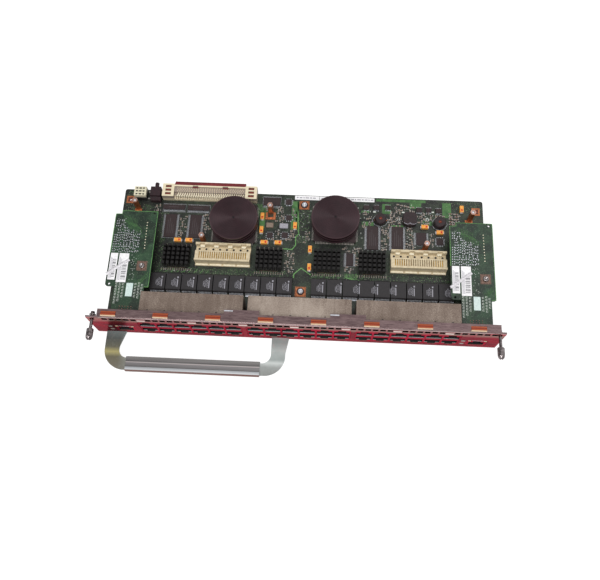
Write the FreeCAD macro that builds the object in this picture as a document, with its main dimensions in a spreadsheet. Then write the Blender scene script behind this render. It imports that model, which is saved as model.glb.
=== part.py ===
import FreeCAD, Part
import os
import re

import Sketcher
from FreeCAD import Vector

# Double-wide network interface module, in millimetres.
# X runs along the front panel, Y from front to back, Z up from the panel's lower edge.
# Places of the pieces are given behind the panel's front face and above the main board's top.

# Driving dimensions: name, size, meaning
DIMENSIONS = (
    ("front_y", -51.9, "depth line that the boards are laid out from, from the middle of the overall depth"),
    ("face_shift", 1.0, "panel face before the depth line"),
    ("board_top", 4.5, "top of the main board above the panel's lower edge"),
    ("fit_gap", 0.05, "play between pieces that are pushed together"),
    ("panel_width", 330.6, "front panel over both ears"),
    ("panel_height", 39.4, "front panel, height of one slot"),
    ("panel_gauge", 1.5, "sheet of the front panel"),
    ("bend_radius", 1.1, "outside of the two bends"),
    ("flange_left", 156.5, "left end of the flanges from the middle"),
    ("flange_right", 161.3, "right end of the flanges from the middle"),
    ("flange_depth", 7.4, "flanges behind the front face"),
    ("tab_offset", 42.0, "deeper tabs of the upper flange from the middle"),
    ("tab_width", 28.0, "deeper tabs of the upper flange"),
    ("tab_depth", 10.9, "deeper tabs of the upper flange"),
    ("vent_width", 4.4, "one vent"),
    ("vent_height", 4.6, "one vent"),
    ("vent_pitch", 5.8, "from vent to vent"),
    ("vent_group", 40.7, "from one group of vents to the next"),
    ("vent_drop", 0.2, "solid strip above the vents"),
    ("window_clear", 0.2, "panel window around a jack"),
    ("clip_first", -147.4, "middle of the leftmost gasket clip"),
    ("clip_pitch", 41.6, "from clip to clip"),
    ("clip_width", 12.0, "gasket clip"),
    ("clip_front", 1.2, "front edge of a clip behind the front face"),
    ("clip_ridge", 2.4, "highest line of a clip behind the front face"),
    ("clip_back", 5.6, "back edge of a clip behind the front face"),
    ("clip_rise", 1.1, "highest line of a clip above the flange"),
    ("clip_gauge", 0.25, "copper strip of a clip"),
    ("port_pitch", 13.97, "from port to port"),
    ("block_left", -126.4, "left end of the first jack block"),
    ("block_gap", 3.84, "between jack blocks"),
    ("block_depth", 26.6, "jack block, front to back"),
    ("block_height", 25.4, "jack block above the board"),
    ("face_recess", 0.2, "jack face behind the panel face"),
    ("shield_gauge", 0.3, "sheet of a jack shield"),
    ("mouth_width", 12.4, "port mouth in the shield"),
    ("mouth_height", 7.2, "port mouth without its latch notch"),
    ("latch_width", 6.4, "latch notch"),
    ("latch_height", 2.6, "latch notch"),
    ("mouth_edge", 1.1, "latch notch of the lower row above the board"),
    ("cavity_depth", 15.0, "port cavity behind the housing's face"),
    ("jack_width", 16.0, "uplink jack"),
    ("jack_depth", 21.0, "uplink jack"),
    ("jack_height", 13.6, "uplink jack"),
    ("jack_lift", 0.8, "uplink jack above the main board"),
    ("jack_mouth", 1.6, "uplink mouth above the jack's underside"),
    ("lamp_offset", 11.5, "status lamps left of the uplink jack's middle"),
    ("lamp_low", 5.4, "lower status lamp above the main board"),
    ("lamp_high", 12.6, "upper status lamp above the main board"),
    ("lamp_width", 3.0, "status lamp"),
    ("lamp_height", 2.2, "status lamp"),
    ("lamp_length", 5.0, "status lamp"),
    ("board_left", 159.8, "main board, left of the middle"),
    ("board_right", 160.4, "main board, right of the middle"),
    ("board_front", 1.8, "main board's front edge behind the depth line"),
    ("board_back", 132.4, "main board's back edge behind the depth line"),
    ("board_gauge", 2.0, "main board"),
    ("board_corner", 2.0, "rounding of the boards' corners"),
    ("corner_hole_y", 122.0, "corner holes behind the depth line"),
    ("corner_hole_x", 154.0, "corner holes from the middle"),
    ("corner_hole_radius", 1.9, "corner holes"),
    ("card_left", -159.9, "left edge of the left uplink board"),
    ("card_pitch", 287.0, "from the left uplink board to the right one"),
    ("card_width", 36.6, "uplink board"),
    ("card_back", 103.0, "uplink board's back edge behind the depth line"),
    ("card_shoulder", 32.8, "front of the wide part behind the depth line"),
    ("card_front", 1.8, "front of the neck behind the depth line"),
    ("card_gauge", 1.6, "uplink board"),
    ("card_lift", 14.4, "underside of an uplink board above the main board"),
    ("step_width", 5.4, "step at the back left corner"),
    ("step_depth", 3.2, "step at the back left corner"),
    ("neck_left", 8.0, "neck from the board's left edge"),
    ("neck_width", 24.8, "neck"),
    ("card_post_x", 28.7, "post under an uplink board from the board's left edge"),
    ("card_post_y", 51.8, "post under an uplink board behind the depth line"),
    ("card_hole", 1.1, "plain holes of an uplink board"),
    ("card_hole_inset", 3.1, "plain holes from the board's sides"),
    ("card_hole_edge", 2.2, "plain holes from the board's ends"),
    ("stack_x", 30.4, "stacking connector from the board's left edge"),
    ("stack_y", 69.0, "stacking connector's front behind the depth line"),
    ("stack_width", 5.0, "stacking connector"),
    ("stack_length", 24.0, "stacking connector"),
    ("handle_left", -157.4, "outer edge of the left leg"),
    ("handle_right", -7.4, "outer edge of the right leg"),
    ("handle_reach", 32.4, "cross bar's front edge before the panel"),
    ("strap_width", 11.8, "legs of the handle"),
    ("bar_width", 10.0, "cross bar of the handle"),
    ("strap_gauge", 2.0, "sheet of the handle"),
    ("foot_back", 2.6, "feet of the handle behind the panel face"),
    ("foot_step", 1.5, "feet narrower than the legs on each side"),
    ("flare_reach", 13.0, "flare of the legs before the panel"),
    ("left_flare", 4.4, "flare of the left leg's inner edge"),
    ("right_flare", 2.4, "flare of the right leg's outer edge"),
    ("corner_outer", 17.0, "outer corners of the handle"),
    ("corner_inner", 7.5, "inner corners of the handle"),
    ("grip_left", -138.2, "left end of the grip"),
    ("grip_length", 110.4, "grip"),
    ("grip_width", 12.4, "grip"),
    ("grip_height", 5.0, "grip"),
    ("grip_groove", 0.6, "grooves of the grip, depth"),
    ("screw_inset", 4.2, "thumbscrew axis from the ear's end"),
    ("screw_drop", 4.6, "thumbscrew axis below the panel's upper edge"),
    ("left_push", 1.6, "how far the left thumbscrew is pushed in"),
    ("ear_hole", 2.05, "hole in the ear, radius"),
    ("knob_radius", 3.1, "thumbscrew knob"),
    ("knob_length", 9.4, "thumbscrew knob"),
    ("knob_crown", 1.2, "rounding at the knob's end"),
    ("shank_radius", 1.25, "plain shank of the thumbscrew"),
    ("shank_reach", 9.6, "knob before the panel when drawn out"),
    ("thread_radius", 1.75, "threaded end"),
    ("thread_length", 2.2, "threaded end"),
    ("ring_radius", 2.6, "retaining ring"),
    ("ring_gauge", 0.6, "retaining ring"),
    ("ring_play", 0.3, "ring behind the panel when drawn out"),
    ("chip_side", 37.0, "large chip"),
    ("chip_shift", 1.0, "large chip behind the middle of its heat sink"),
    ("chip_height", 2.4, "large chip"),
    ("fin_radius", 20.75, "round heat sink"),
    ("fin_gauge", 1.4, "disc of the round heat sink"),
    ("fin_pitch", 4.3, "from disc to disc"),
    ("stem_radius", 7.0, "stem of the round heat sink"),
    ("foot_side", 25.0, "square foot of the round heat sink"),
    ("foot_height", 1.6, "foot of the round heat sink"),
    ("sink_height", 13.6, "round heat sink"),
    ("pin_chip_side", 17.0, "smaller chip"),
    ("pin_chip_height", 2.0, "smaller chip"),
    ("pin_sink_length", 22.4, "pin-fin heat sink, six pins"),
    ("pin_sink_width", 18.8, "pin-fin heat sink, five pins"),
    ("pin_sink_height", 8.0, "pin-fin heat sink"),
    ("pin_base", 1.8, "base of the pin-fin heat sink"),
    ("pin_gap", 1.7, "cut between the pins"),
    ("mezzanine_length", 47.4, "mezzanine connector"),
    ("mezzanine_y", 60.3, "mezzanine connector's front behind the depth line"),
    ("mezzanine_depth", 18.8, "mezzanine connector"),
    ("mezzanine_height", 9.5, "front wall of the mezzanine connector"),
    ("mezzanine_ledge", 1.7, "front ledge of the mezzanine connector"),
    ("mezzanine_step", 1.5, "height of that ledge"),
    ("mezzanine_wall", 1.7, "front wall of the mezzanine connector"),
    ("contact_back", 11.5, "contact block's back behind the connector's front"),
    ("contact_height", 7.5, "contact block above the board"),
    ("trough_height", 3.0, "floor behind the contact block"),
    ("latch_wall", 2.0, "back wall of the mezzanine connector"),
    ("latch_top", 8.5, "back wall above the board"),
    ("contact_pitch", 1.9, "contact slots of the mezzanine connector"),
    ("contact_gap", 0.9, "contact slots of the mezzanine connector"),
    ("contact_length", 6.2, "contact slots of the mezzanine connector"),
    ("contact_depth", 3.0, "contact slots of the mezzanine connector"),
    ("contact_margin", 0.9, "rim between the contact slots and the block's back"),
    ("latch_pitch", 11.9, "latch notches of the mezzanine connector"),
    ("latch_notch", 4.4, "latch notches of the mezzanine connector"),
    ("latch_cut", 1.1, "latch notches into the back wall"),
    ("latch_drop", 2.4, "latch notches of the mezzanine connector"),
    ("bar_gap", 1.4, "gaps in the front ledge"),
    ("bar_drop", 0.8, "gaps in the front ledge"),
    ("bus_left", -124.4, "left end of the bus connector"),
    ("bus_length", 84.3, "bus connector"),
    ("bus_y", 122.6, "bus connector's front behind the depth line"),
    ("bus_depth", 11.4, "bus connector"),
    ("bus_height", 8.5, "bus connector"),
    ("bus_end", 10.4, "end block of the bus connector"),
    ("bus_end_depth", 12.4, "end block of the bus connector"),
    ("bus_rim", 1.4, "back rim of the bus connector"),
    ("bus_roof", 7.0, "roof of the bus connector above the board"),
    ("bus_roof_front", 5.2, "roof's front edge behind the connector's front"),
    ("bus_shelf", 5.0, "shelf before the roof, above the board"),
    ("tail_depth", 3.2, "sloping front with the contact tails"),
    ("tail_low", 2.5, "lower edge of the sloping front"),
    ("tail_drop", 3.4, "gaps between the contact tails"),
    ("tail_pitch", 2.0, "contact tails of the bus connector"),
    ("tail_gap", 1.0, "contact tails of the bus connector"),
    ("key_width", 4.8, "key notches in the back rim"),
    ("key_depth", 1.0, "key notches in the back rim"),
    ("well_length", 5.2, "wells of the end blocks"),
    ("well_width", 2.4, "wells of the end blocks"),
    ("well_depth", 2.0, "wells of the end blocks"),
    ("well_pitch", 3.6, "from well to well"),
    ("well_first", 1.4, "first well behind the connector's front"),
    ("blade_inset", 0.3, "power contact from the sides of its well"),
    ("blade_height", 1.4, "power contact"),
    ("strip_left", -113.9, "left end of the mating strip"),
    ("strip_length", 63.3, "mating strip"),
    ("strip_reach", 138.4, "mating strip's back behind the depth line"),
    ("strip_low", 1.2, "mating strip above the board"),
    ("strip_high", 8.0, "mating strip above the board"),
    ("strip_step", 1.0, "step in the top of the mating strip"),
    ("strip_bevel", 0.6, "lower back edge of the mating strip"),
    ("guide_width", 9.0, "guide block"),
    ("guide_depth", 11.6, "guide block"),
    ("guide_height", 8.6, "guide block"),
    ("guide_step", 2.6, "stepped front of the guide block"),
    ("guide_drop", 2.0, "stepped front below the block's top"),
    ("guide_slope", 2.5, "fall of the stepped front"),
    ("guide_rib", 0.9, "rib on the side of the guide block"),
    ("guide_rib_length", 3.9, "rib on the side of the guide block"),
    ("guide_rib_height", 7.1, "rib on the side of the guide block"),
    ("guide_pin_height", 5.3, "guide pin's axis above the board"),
    ("guide_pin_radius", 1.8, "guide pin"),
    ("guide_pin_length", 5.0, "guide pin"),
    ("header_width", 10.6, "header"),
    ("header_depth", 9.8, "header"),
    ("header_base", 5.0, "black base of the header"),
    ("header_cap", 3.4, "white cap of the header"),
    ("cap_setback", 0.8, "white cap behind the front of its base"),
    ("socket_length", 1.3, "socket of the header"),
    ("socket_width", 1.0, "socket of the header"),
    ("socket_depth", 1.2, "socket of the header"),
    ("socket_pitch", 2.0, "sockets along the header"),
    ("socket_row", 2.9, "rows of sockets"),
    ("transformer_pitch", 13.45, "from transformer to transformer"),
    ("transformer_width", 12.7, "line transformer"),
    ("transformer_depth", 15.6, "line transformer"),
    ("transformer_height", 6.0, "line transformer"),
    ("transformer_y", 35.2, "line transformers behind the depth line"),
    ("transformer_edge", 0.8, "bevel of a line transformer's upper edges"),
    ("memory_width", 10.2, "memory chip"),
    ("memory_length", 22.2, "memory chip"),
    ("memory_height", 1.2, "memory chip"),
    ("post_radius", 2.6, "threaded post"),
    ("post_bore", 1.25, "thread of a post, core radius"),
    ("post_depth", 8.0, "thread of a post"),
    ("spacer_radius", 2.3, "panel spacer"),
    ("spacer_y", 4.1, "panel spacers behind the depth line"),
    ("drum_radius", 5.2, "drum inductor"),
    ("drum_height", 5.0, "drum inductor"),
    ("drum_bevel", 0.8, "upper edge of a drum inductor"),
    ("coil_length", 12.4, "square inductor"),
    ("coil_width", 11.6, "square inductor"),
    ("coil_height", 5.0, "square inductor"),
    ("coil_corner", 2.2, "square inductor"),
    ("capacitor_length", 6.0, "tantalum capacitor"),
    ("capacitor_width", 3.2, "tantalum capacitor"),
    ("capacitor_height", 2.6, "tantalum capacitor"),
)

# Counts of what repeats
BLOCKS = 3
PORT_COLUMNS = 6
CARDS = ("left", "right")
CLIPS = 8
VENTS = 6
VENT_GROUPS = 8
PIN_COLUMNS = 6
PIN_ROWS = 5
FIN_DISCS = 3
TRANSFORMERS = 9
CONTACT_SLOTS = 22
LATCHES = 4
TAILS = 31
WELLS = 3
SOCKETS = 4
SOCKET_ROWS = 3

# Layout of the main board: x from the middle, y behind the depth line
LARGE_CHIPS = (("left", -58.0, 100.2), ("right", 30.0, 104.3))
PIN_SINKS = ((-105.6, 67.1), (-25.8, 67.0), (23.9, 67.3), (62.5, 67.3))
MEZZANINES = (("left", -65.8), ("right", 102.3))
TRANSFORMER_ROWS = (("left", -125.2), ("right", 11.4))
MEMORY_CHIPS = ((-115.1, 97.3), (-93.2, 97.4), (63.1, 92.5), (84.7, 92.9))
POSTS = ((-146.0, 114.3), (-27.2, 114.3), (-84.4, 83.3), (108.4, 83.3), (148.5, 114.3))
PANEL_SPACERS = (-129.0, 136.1)
DRUMS = ((69.8, 110.1), (121.7, 108.7))
COIL = (95.5, 110.8)
GUIDE = (-134.9, 119.8)
HEADER = (-149.4, 121.3)
NOTCHES = (-95.3, -68.7)

# Flat chips: x, y, length along X, length along Y, height
FLAT_CHIPS = (
    (-113.6, 115.2, 19.4, 4.4, 2.2),
    (-91.7, 115.1, 19.2, 4.4, 2.2),
    (-26.8, 124.2, 15.2, 7.6, 2.0),
    (43.7, 71.2, 6.2, 11.4, 1.1),
    (105.5, 93.2, 9.0, 11.6, 1.3),
    (121.7, 91.4, 6.0, 6.8, 0.9),
    (57.5, 122.0, 5.0, 4.0, 1.6),
    (66.2, 122.2, 5.0, 4.0, 1.6),
    (76.5, 122.6, 5.0, 4.0, 1.6),
    (104.0, 121.4, 5.0, 4.0, 1.6),
    (112.4, 121.4, 5.0, 4.0, 1.6),
    (121.0, 121.0, 5.0, 4.0, 1.6),
)

# Tantalum capacitors: x, y, and the axis along which they lie
CAPACITORS = (
    (-107.0, 83.4, "x"),
    (-97.1, 83.5, "x"),
    (-34.4, 109.4, "y"),
    (-34.4, 96.2, "y"),
    (-5.1, 101.2, "y"),
    (-31.3, 84.2, "x"),
    (-19.1, 84.3, "x"),
    (9.0, 79.2, "y"),
    (9.0, 62.4, "y"),
    (108.6, 104.6, "x"),
    (121.7, 99.8, "x"),
    (141.4, 123.3, "y"),
)

BLOCK_WIDTH = f"({PORT_COLUMNS} * port_pitch)"
UPPER_EDGE = "(block_height - mouth_edge)"
NEAR = 1e-4

doc = FreeCAD.newDocument("interface_module")
sheet = doc.addObject("Spreadsheet::Sheet", "Dims")
for line, (alias, size, meaning) in enumerate(DIMENSIONS, start=1):
    sheet.set(f"A{line}", meaning)
    sheet.set(f"B{line}", str(size))
    sheet.setAlias(f"B{line}", alias)
doc.recompute()
ALIASES = {alias for alias, size, meaning in DIMENSIONS}
sub_parts = []


def formula(text):
    """Expression on the sheet for a size written with the names of its cells."""
    def cell(word):
        return f"Dims.{word.group()}" if word.group() in ALIASES else word.group()
    return re.sub(r"[a-z_]+", cell, str(text))


def value(text):
    """Present size of such an expression."""
    return float(sheet.evalExpression(formula(text)))


def place(part, x, y, z):
    """Sets a part at x, at y behind the depth line and at z above the board."""
    spot = (x, f"front_y + ({y})", f"board_top + ({z})")
    for axis, text in zip("xyz", spot):
        part.setExpression(f"Placement.Base.{axis}", formula(text))


def hand_in(part, label, x="0", y="0", z="0"):
    """Names and places a finished sub-part."""
    part.Label = label
    place(part, x, y, z)
    sub_parts.append(part)


def new_body(label):
    return doc.addObject("PartDesign::Body", label)


def datum(body, role):
    """Plane or axis of a body's own origin."""
    return next(item for item in body.Origin.OriginFeatures if item.Role == role)


def sketch_on(body, plane, offset="0"):
    """Empty sketch on a plane of the body, moved along the plane's normal."""
    sketch = body.newObject("Sketcher::SketchObject", "sketch")
    sketch.AttachmentSupport = (datum(body, plane), [""])
    sketch.MapMode = "FlatFace"
    sketch.setExpression("AttachmentOffset.Base.z", formula(offset))
    sketch.Visibility = False
    return sketch


def pin_point(sketch, geometry, point, corner):
    """Ties a point of the sketch to its two coordinates."""
    for kind, text in zip(("DistanceX", "DistanceY"), corner):
        size = Sketcher.Constraint(kind, -1, 1, geometry, point, value(text))
        number = sketch.addConstraint(size)
        sketch.setExpression(f"Constraints[{number}]", formula(text))


def outline(sketch, corners):
    """Closed outline of straight lines through the corners."""
    points = [Vector(value(x), value(y), 0) for x, y in corners]
    first = sketch.GeometryCount
    count = len(points)
    for number in range(count):
        sketch.addGeometry(Part.LineSegment(points[number], points[(number + 1) % count]))
    for number in range(count):
        following = first + (number + 1) % count
        sketch.addConstraint(Sketcher.Constraint("Coincident", first + number, 2, following, 1))
    for number, corner in enumerate(corners):
        pin_point(sketch, first + number, 1, corner)


def rectangle(sketch, x, y, length, width):
    """Rectangle from its lower left corner."""
    right = f"{x} + {length}"
    upper = f"{y} + {width}"
    outline(sketch, ((x, y), (right, y), (right, upper), (x, upper)))


def hexagon(sketch, x, y, radius):
    """Six-sided outline about a point, for small holes and a hidden stem."""
    rise = f"{radius} * sqrt(3) / 2"
    outline(sketch, ((f"{x} + {radius}", y), (f"{x} + {radius} / 2", f"{y} + {rise}"),
                     (f"{x} - {radius} / 2", f"{y} + {rise}"), (f"{x} - {radius}", y),
                     (f"{x} - {radius} / 2", f"{y} - {rise}"), (f"{x} + {radius} / 2", f"{y} - {rise}")))


def circle(sketch, x, y, radius):
    centre = Vector(value(x), value(y), 0)
    number = sketch.addGeometry(Part.Circle(centre, Vector(0, 0, 1), value(radius)))
    pin_point(sketch, number, 3, (x, y))
    size = sketch.addConstraint(Sketcher.Constraint("Radius", number, value(radius)))
    sketch.setExpression(f"Constraints[{size}]", formula(radius))


def pad(body, sketch, length, flip=False, middle=False):
    """Material raised from a sketch along its normal, or against it."""
    feature = body.newObject("PartDesign::Pad", "pad")
    feature.Profile = sketch
    feature.Reversed = flip
    feature.Midplane = middle
    feature.setExpression("Length", formula(length))
    doc.recompute()
    return feature


def pocket(body, sketch, depth, flip=False, middle=False):
    """Material cut away from a sketch against its normal, or along it."""
    feature = body.newObject("PartDesign::Pocket", "pocket")
    feature.Profile = sketch
    feature.Reversed = flip
    feature.Midplane = middle
    feature.setExpression("Length", formula(depth))
    doc.recompute()
    return feature


def row(body, feature, axis, count, pitch):
    """Repeats a feature along an axis of the body."""
    pattern = body.newObject("PartDesign::LinearPattern", "row")
    pattern.Originals = [feature]
    pattern.Direction = (datum(body, axis), [""])
    pattern.Occurrences = count
    pattern.setExpression("Length", formula(f"{count - 1} * ({pitch})"))
    body.Tip = pattern
    doc.recompute()
    return pattern


def turn(body, sketch, axis):
    """Turned piece from half its section."""
    feature = body.newObject("PartDesign::Revolution", "turned")
    feature.Profile = sketch
    feature.ReferenceAxis = (datum(body, axis), [""])
    feature.Angle = 360
    doc.recompute()
    return feature


def edges_at(shape, **fixed):
    """Names of the edges whose two ends both have the given coordinates."""
    names = []
    for number, edge in enumerate(shape.Edges, start=1):
        ends = [vertex.Point for vertex in edge.Vertexes]
        gaps = [abs(getattr(end, axis) - at) for end in ends for axis, at in fixed.items()]
        if len(ends) == 2 and max(gaps) < NEAR:
            names.append(f"Edge{number}")
    return names


def round_off(body, corners, radius):
    """Rounds the edges that stand at the given coordinates."""
    base = body.Tip
    names = [name for fixed in corners for name in edges_at(base.Shape, **fixed)]
    feature = body.newObject("PartDesign::Fillet", "rounding")
    feature.Base = (base, names)
    feature.setExpression("Radius", formula(radius))
    doc.recompute()
    return feature


def upright(corners):
    """Coordinates of the edges along Z through the corners of an outline."""
    return [{"x": value(x), "y": value(y)} for x, y in corners]


def box(name, sides, x, y, z):
    """Plain block from its lower left front corner."""
    part = doc.addObject("Part::Box", name)
    for side, text in zip(("Length", "Width", "Height"), sides):
        part.setExpression(side, formula(text))
    place(part, x, y, z)
    return part


def rod(name, radius, height, x, y, z):
    """Upright cylinder from the middle of its lower end."""
    part = doc.addObject("Part::Cylinder", name)
    part.setExpression("Radius", formula(radius))
    part.setExpression("Height", formula(height))
    place(part, x, y, z)
    return part


def prism(name, radius, height, x, y, z):
    """Upright six-sided bar from the middle of its lower end."""
    part = doc.addObject("Part::Prism", name)
    part.Polygon = 6
    part.setExpression("Circumradius", formula(radius))
    part.setExpression("Height", formula(height))
    place(part, x, y, z)
    return part


def cut(name, base, tool):
    part = doc.addObject("Part::Cut", name)
    part.Base = base
    part.Tool = tool
    return part


def group(label, pieces):
    """One node of separate equal pieces."""
    part = doc.addObject("Part::Compound", label)
    part.Links = pieces
    part.Label = label
    sub_parts.append(part)


def block_x(block):
    """Left end of a jack block."""
    return f"block_left + {block} * ({BLOCK_WIDTH} + block_gap)"


def card_x(card):
    """Left edge of an uplink board."""
    return f"card_left + {card} * card_pitch"


def jack_x(card):
    """Middle of an uplink jack, under the middle of the neck."""
    return f"{card_x(card)} + neck_left + neck_width / 2"


def leg_x():
    """Middles of the handle's two legs."""
    return ("handle_left + strap_width / 2", "handle_right - strap_width / 2")


def front_panel():
    """Folded sheet with windows, holes, handle slots and vents."""
    body = new_body("front_panel")
    plate = sketch_on(body, "XZ_Plane")
    rectangle(plate, "-panel_width / 2", "0", "panel_width", "panel_height")
    for block in range(BLOCKS):
        rectangle(plate, f"{block_x(block)} - window_clear", "board_top - window_clear",
                  f"{BLOCK_WIDTH} + 2 * window_clear", "block_height + 2 * window_clear")
    for card in range(len(CARDS)):
        rectangle(plate, f"{jack_x(card)} - jack_width / 2 - window_clear",
                  "board_top + jack_lift - window_clear",
                  "jack_width + 2 * window_clear", "jack_height + 2 * window_clear")
        for lamp in ("lamp_low", "lamp_high"):
            rectangle(plate, f"{jack_x(card)} - lamp_offset - lamp_width / 2 - fit_gap",
                      f"board_top + {lamp} - lamp_height / 2 - fit_gap",
                      "lamp_width + 2 * fit_gap", "lamp_height + 2 * fit_gap")
    for side in (-1, 1):
        circle(plate, f"{side} * (panel_width / 2 - screw_inset)", "panel_height - screw_drop", "ear_hole")
    for middle in leg_x():
        rectangle(plate, f"{middle} - strap_width / 2 + foot_step - fit_gap", "panel_gauge",
                  "strap_width - 2 * foot_step + 2 * fit_gap", "strap_gauge + fit_gap")
    pad(body, plate, "panel_gauge", flip=True)

    upper = sketch_on(body, "XY_Plane", "panel_height - panel_gauge")
    corners = [("-flange_left", "0"), ("flange_right", "0"), ("flange_right", "flange_depth")]
    for side in (1, -1):
        right = f"{side} * tab_offset + tab_width / 2"
        left = f"{side} * tab_offset - tab_width / 2"
        corners += [(right, "flange_depth"), (right, "tab_depth")]
        corners += [(left, "tab_depth"), (left, "flange_depth")]
    corners.append(("-flange_left", "flange_depth"))
    outline(upper, corners)
    pad(body, upper, "panel_gauge")

    lower = sketch_on(body, "XY_Plane")
    rectangle(lower, "-flange_left", "0", "flange_left + flange_right", "flange_depth")
    pad(body, lower, "panel_gauge")

    bends = [{"y": 0.0, "z": 0.0}, {"y": 0.0, "z": value("panel_height")}]
    round_off(body, bends, "bend_radius")
    vents(body, 1, VENT_GROUPS - 1, range(VENTS))
    vents(body, 0, 1, range(1, VENTS))
    hand_in(body, "front_panel", y="-face_shift", z="-board_top")


def vents(body, first, count, numbers):
    """Groups of vents under the upper bend."""
    sketch = sketch_on(body, "XZ_Plane")
    for number in numbers:
        middle = f"{first - (VENT_GROUPS - 1) / 2} * vent_group + {number - (VENTS - 1) / 2} * vent_pitch"
        rectangle(sketch, f"{middle} - vent_width / 2",
                  "panel_height - panel_gauge - vent_drop - vent_height", "vent_width", "vent_height")
    opening = pocket(body, sketch, "panel_gauge")
    if count > 1:
        row(body, opening, "X_Axis", count, "vent_group")


def gasket_clips():
    """Copper spring strips along the upper flange."""
    body = new_body("gasket_clips")
    section = sketch_on(body, "YZ_Plane")
    outline(section, (("clip_front", "0"), ("clip_ridge", "clip_rise"), ("clip_back", "clip_gauge"),
                      ("clip_back", "0"), ("clip_ridge", "clip_rise - clip_gauge"),
                      ("clip_front + 2 * clip_gauge", "0")))
    clip = pad(body, section, "clip_width", middle=True)
    row(body, clip, "X_Axis", CLIPS, "clip_pitch")
    hand_in(body, "gasket_clips", x="clip_first", y="-face_shift", z="panel_height - board_top")


def mouth(middle, edge, way):
    """Port mouth with its latch notch at the given edge; way is 1 with the notch below."""
    half = "mouth_width / 2"
    notch = "latch_width / 2"
    step = f"{edge} + {way} * latch_height"
    far = f"{edge} + {way} * (latch_height + mouth_height)"
    return ((f"{middle} - {half}", far), (f"{middle} - {half}", step), (f"{middle} - {notch}", step),
            (f"{middle} - {notch}", edge), (f"{middle} + {notch}", edge), (f"{middle} + {notch}", step),
            (f"{middle} + {half}", step), (f"{middle} + {half}", far))


def port_shield(block):
    """Sheet cover of a jack block, open below, with two rows of mouths."""
    body = new_body(f"port_shield_{block + 1}")
    shell = sketch_on(body, "XY_Plane")
    rectangle(shell, "0", "face_recess", BLOCK_WIDTH, "block_depth")
    pad(body, shell, "block_height")
    inside = sketch_on(body, "XY_Plane")
    rectangle(inside, "shield_gauge", "face_recess + shield_gauge",
              f"{BLOCK_WIDTH} - 2 * shield_gauge", "block_depth - 2 * shield_gauge")
    pocket(body, inside, "block_height - shield_gauge", flip=True)
    mouths = sketch_on(body, "XZ_Plane")
    outline(mouths, mouth("port_pitch / 2", "mouth_edge", 1))
    outline(mouths, mouth("port_pitch / 2", UPPER_EDGE, -1))
    opening = pocket(body, mouths, "face_recess + 2 * shield_gauge")
    row(body, opening, "X_Axis", PORT_COLUMNS, "port_pitch")
    hand_in(body, f"port_shield_{block + 1}", x=block_x(block), y="-face_shift")


def port_housing(block):
    """Moulded insert of a jack block with one cavity per port."""
    body = new_body(f"port_housing_{block + 1}")
    wall = "(shield_gauge + fit_gap)"
    solid = sketch_on(body, "XY_Plane")
    rectangle(solid, wall, f"face_recess + {wall}",
              f"{BLOCK_WIDTH} - 2 * {wall}", f"block_depth - 2 * {wall}")
    pad(body, solid, f"block_height - {wall}")
    cavities = sketch_on(body, "XZ_Plane")
    depth = f"face_recess + {wall} + cavity_depth"
    height = "(latch_height + mouth_height)"
    for lower in ("mouth_edge", f"{UPPER_EDGE} - {height}"):
        rectangle(cavities, "port_pitch / 2 - mouth_width / 2", lower, "mouth_width", height)
    opening = pocket(body, cavities, depth)
    row(body, opening, "X_Axis", PORT_COLUMNS, "port_pitch")
    hand_in(body, f"port_housing_{block + 1}", x=block_x(block), y="-face_shift")


def uplink_shield(card, name):
    """Sheet cover of an uplink jack, open towards its board above."""
    body = new_body(f"uplink_shield_{name}")
    shell = sketch_on(body, "XY_Plane")
    rectangle(shell, "-jack_width / 2", "face_recess", "jack_width", "jack_depth")
    pad(body, shell, "jack_height")
    inside = sketch_on(body, "XY_Plane", "shield_gauge")
    rectangle(inside, "-jack_width / 2 + shield_gauge", "face_recess + shield_gauge",
              "jack_width - 2 * shield_gauge", "jack_depth - 2 * shield_gauge")
    pocket(body, inside, "jack_height", flip=True)
    opening = sketch_on(body, "XZ_Plane")
    outline(opening, mouth("0", "jack_mouth + mouth_height + latch_height", -1))
    pocket(body, opening, "face_recess + 2 * shield_gauge")
    hand_in(body, f"uplink_shield_{name}", x=jack_x(card), y="-face_shift", z="jack_lift")


def uplink_housing(card, name):
    """Moulded insert of an uplink jack."""
    body = new_body(f"uplink_housing_{name}")
    wall = "(shield_gauge + fit_gap)"
    solid = sketch_on(body, "XY_Plane", wall)
    rectangle(solid, f"-jack_width / 2 + {wall}", f"face_recess + {wall}",
              f"jack_width - 2 * {wall}", f"jack_depth - 2 * {wall}")
    pad(body, solid, f"jack_height - {wall}")
    cavity = sketch_on(body, "XZ_Plane")
    rectangle(cavity, "-mouth_width / 2", "jack_mouth", "mouth_width", "mouth_height + latch_height")
    pocket(body, cavity, f"face_recess + {wall} + cavity_depth")
    hand_in(body, f"uplink_housing_{name}", x=jack_x(card), y="-face_shift", z="jack_lift")


def uplink_board(card, name):
    """Small board with a neck to the panel, a step at the back and two holes."""
    body = new_body(f"uplink_board_{name}")
    neck_right = "neck_left + neck_width"
    corners = (("0", "card_shoulder"), ("neck_left", "card_shoulder"), ("neck_left", "card_front"),
               (neck_right, "card_front"), (neck_right, "card_shoulder"), ("card_width", "card_shoulder"),
               ("card_width", "card_back"), ("step_width", "card_back"),
               ("step_width", "card_back - step_depth"), ("0", "card_back - step_depth"))
    sketch = sketch_on(body, "XY_Plane")
    outline(sketch, corners)
    hexagon(sketch, "card_width - card_hole_inset", "card_back - card_hole_edge", "card_hole")
    hexagon(sketch, "card_hole_inset", "card_shoulder + card_hole_edge", "card_hole")
    pad(body, sketch, "card_gauge")
    outer = (corners[0], corners[5], corners[6], corners[9])
    round_off(body, upright(outer), "board_corner")
    hand_in(body, f"uplink_board_{name}", x=card_x(card), z="card_lift")


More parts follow.
